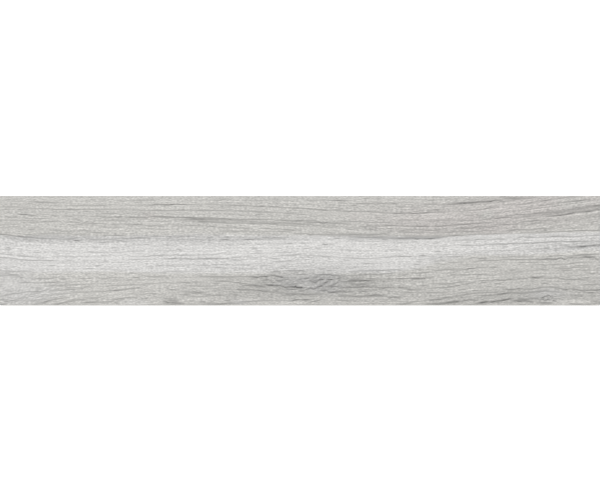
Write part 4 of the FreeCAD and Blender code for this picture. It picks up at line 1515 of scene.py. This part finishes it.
def pressed_back(settings, grain, speckle):
    """The back: pressed body, with pale kiln dust rubbed on to the ribs by the rollers."""
    finish, tree, shader = new_finish("pressed porcelain back")
    along, across, height = place_on_tile(tree)
    patch = {"Run": along, "Across": across, "Length": 60 * MM, "Thickness": 40 * MM}
    cloudy = effect(tree, grain, Seed=12.0, Detail=3.0, **patch)
    smear = {"Run": along, "Across": across, "Length": 90 * MM, "Thickness": 2.5 * MM}
    rubbed = effect(tree, grain, Seed=14.0, Detail=2.0, **smear)
    powder = effect(tree, speckle, Size=1.6 * MM, Share=0.7, Seed=15.0)
    specks = effect(tree, speckle, Size=0.9 * MM, Share=0.3, Seed=16.0)
    rib = between(tree, height, LOW.z + DUST_FULL, LOW.z + DUST_END, 1.0, 0.0)
    thick = between(tree, weighted(tree, rubbed, (cloudy, 0.9), (powder, 0.35)), -0.3, 1.3, 0.0, 0.8)
    dusted = calculate(tree, "MULTIPLY", rib, thick)
    tone = weighted(tree, 0.96, (cloudy, 0.03), (specks, -0.09))
    body = brightened(tree, tuple(settings.body_colour), tone)
    feed(tree, shader.inputs["Base Color"], mixed(tree, dusted, body, colour_of(settings.kiln_dust)))
    rough = weighted(tree, BACK_ROUGHNESS, (dusted, 0.14), (specks, -0.05))
    feed(tree, shader.inputs["Roughness"], rough)
    raised(tree, shader, weighted(tree, 0.5, (cloudy, 0.2), (specks, 0.2), (dusted, 0.3)), BACK_RELIEF)
    return finish


# The stage

# The floor lies this far under the plank, and what sees it directly sees this much glow
FLOOR_GAP = 0.05 * MM
FLOOR_GLOW = 0.34

# The main lamp: how wide it is seen, how far it leans from straight above, and which way
LAMP_WIDTH = math.radians(16)
LAMP_LEAN = math.radians(14)
LAMP_TURN = math.radians(120)

# How far past the picture's sides the plank's ends reach together, and how far its middle lies below the
# picture's middle
PAST_SIDES = 2 * MM
BELOW_MIDDLE = 1 * MM


class OBJECT_OT_plank_tile(bpy.types.Operator):
    """Make the plank tile, embossed, printed, ground and keyed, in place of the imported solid"""

    bl_idname = "object.plank_tile"
    bl_label = "Make plank tile"

    def execute(self, context):
        settings = context.scene.plank_tile
        bevel = settings.bevel
        xs = np.linspace(LOW.x + bevel, HIGH.x - bevel, settings.columns + 1)
        ys = np.linspace(LOW.y + bevel, HIGH.y - bevel, settings.rows + 1)
        along = (xs - LOW.x) / (HIGH.x - LOW.x) * PRINT_LENGTH
        down = (HIGH.y - ys[::-1]) / MM
        fields = {name: field[::-1] for name, field in print_fields(along, down).items()}
        shell = TileShell()
        face = add_embossed_face(shell, xs, ys, fields["groove"] * settings.grain_depth)
        back_xs = [LOW.x, *pocket_places(HIGH.x - LOW.x), HIGH.x]
        back_ys = [LOW.y, *pocket_places(HIGH.y - LOW.y), HIGH.y]
        back = add_back(shell, back_xs, back_ys)
        add_sides(shell, face, back, bevel)
        piece = self.as_object(context, shell, fields)
        grain, speckle = drawn_out_grain(), fired_speckle()
        for finish in (printed_glaze, ground_body, pressed_back):
            piece.data.materials.append(finish(settings, grain, speckle))
        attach(piece, "root")
        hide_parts("plank_tile")
        return {"FINISHED"}

    def as_object(self, context, shell, fields):
        """The shell as an object, with its print and its flat pattern on it."""
        mesh = bpy.data.meshes.new("embossed_plank")
        mesh.from_pydata([tuple(map(float, p)) for p in shell.points], [], shell.faces)
        mesh.polygons.foreach_set("material_index", shell.finishes)
        mesh.polygons.foreach_set("use_smooth", [finish == FACE for finish in shell.finishes])
        for name, field in fields.items():
            values = np.zeros(len(shell.points), np.float32)
            values[: field.size] = field.ravel()
            mesh.attributes.new(name, "FLOAT", "POINT").data.foreach_set("value", values)
        pattern = mesh.uv_layers.new(name="OFBake")
        places = []
        for corners, name in zip(shell.faces, shell.patterns):
            for corner in corners:
                places.extend(flat_pattern(name, *shell.points[corner]))
        pattern.data.foreach_set("uv", places)
        if mesh.validate(verbose=True):
            raise RuntimeError("the plank's skin has faces that don't hold")
        mesh.update()
        piece = bpy.data.objects.new("embossed_plank", mesh)
        context.scene.collection.objects.link(piece)
        return piece


class OBJECT_OT_plank_stage(bpy.types.Operator):
    """Make the floor, the even light, the lamp and the camera that looks straight down"""

    bl_idname = "object.plank_stage"
    bl_label = "Make stage"

    def execute(self, context):
        settings = context.scene.plank_stage
        self.make_floor(context, settings)
        self.make_light(context, settings)
        self.make_camera(context, settings)
        context.scene.view_settings.view_transform = "Standard"
        return {"FINISHED"}

    def make_floor(self, context, settings):
        half = settings.floor_size / 2
        mesh = bpy.data.meshes.new("floor")
        corners = [(-half, -half), (half, -half), (half, half), (-half, half)]
        mesh.from_pydata([(x, y, LOW.z - FLOOR_GAP) for x, y in corners], [], [(0, 1, 2, 3)])
        floor = bpy.data.objects.new("floor", mesh)
        context.scene.collection.objects.link(floor)
        finish, tree, shader = new_finish("pale floor")
        feed(tree, shader.inputs["Base Color"], colour_of(settings.floor_colour))
        feed(tree, shader.inputs["Roughness"], 1.0)
        feed(tree, shader.inputs["Specular IOR Level"], 0.0)
        feed(tree, shader.inputs["Emission Color"], (1.0, 1.0, 1.0, 1.0))
        glow = calculate(tree, "MULTIPLY", seen_directly(tree), FLOOR_GLOW)
        feed(tree, shader.inputs["Emission Strength"], glow)
        mesh.materials.append(finish)

    def make_light(self, context, settings):
        world = bpy.data.worlds.new("even light")
        context.scene.world = world
        world.use_nodes = True
        tree = world.node_tree
        tree.nodes.clear()
        level = add_node(tree, "ShaderNodeMix", data_type="FLOAT")
        feed(tree, level.inputs["Factor"], seen_directly(tree))
        feed(tree, level.inputs["A"], settings.sky_level)
        feed(tree, level.inputs["B"], 1.0)
        sky = add_node(tree, "ShaderNodeBackground")
        feed(tree, sky.inputs["Color"], (1.0, 1.0, 1.0, 1.0))
        feed(tree, sky.inputs["Strength"], level.outputs["Result"])
        output = add_node(tree, "ShaderNodeOutputWorld")
        tree.links.new(sky.outputs["Background"], output.inputs["Surface"])
        light = bpy.data.lights.new("main lamp", "SUN")
        light.angle = LAMP_WIDTH
        light.energy = settings.lamp_level * math.pi / math.cos(LAMP_LEAN)
        lamp = bpy.data.objects.new("main lamp", light)
        lamp.location = (2 * math.cos(LAMP_TURN), 2 * math.sin(LAMP_TURN), 3)
        lamp.rotation_euler = (0, LAMP_LEAN, LAMP_TURN)
        context.scene.collection.objects.link(lamp)

    def make_camera(self, context, settings):
        """Straight above the plank, as far off as fits its length to the width of the picture."""
        data = bpy.data.cameras.new("camera")
        data.lens = settings.lens
        data.clip_end = 100
        away = (HIGH.x - LOW.x - PAST_SIDES) * data.lens / data.sensor_width
        camera = bpy.data.objects.new("camera", data)
        camera.location = (0, BELOW_MIDDLE, HIGH.z + away)
        context.scene.collection.objects.link(camera)
        context.scene.camera = camera


class VIEW3D_PT_plank_tile(bpy.types.Panel):
    """Sizes, colours and buttons of the plank tile"""

    bl_label = "Plank tile"
    bl_space_type = "VIEW_3D"
    bl_region_type = "UI"
    bl_category = "Plank tile"

    def draw(self, context):
        tile, stage = context.scene.plank_tile, context.scene.plank_stage
        for name in tile.__annotations__:
            self.layout.prop(tile, name)
        self.layout.operator(OBJECT_OT_plank_tile.bl_idname)
        for name in stage.__annotations__:
            self.layout.prop(stage, name)
        self.layout.operator(OBJECT_OT_plank_stage.bl_idname)


CLASSES = (
    PlankTileSettings,
    PlankStageSettings,
    OBJECT_OT_plank_tile,
    OBJECT_OT_plank_stage,
    VIEW3D_PT_plank_tile,
)


def register():
    for cls in CLASSES:
        bpy.utils.register_class(cls)
    bpy.types.Scene.plank_tile = PointerProperty(type=PlankTileSettings)
    bpy.types.Scene.plank_stage = PointerProperty(type=PlankStageSettings)


def unregister():
    del bpy.types.Scene.plank_stage
    del bpy.types.Scene.plank_tile
    for cls in reversed(CLASSES):
        bpy.utils.unregister_class(cls)


def main():
    register()
    bpy.ops.object.plank_stage()
    bpy.ops.object.plank_tile()
    bpy.context.view_layer.update()


if __name__ == "__main__":
    main()
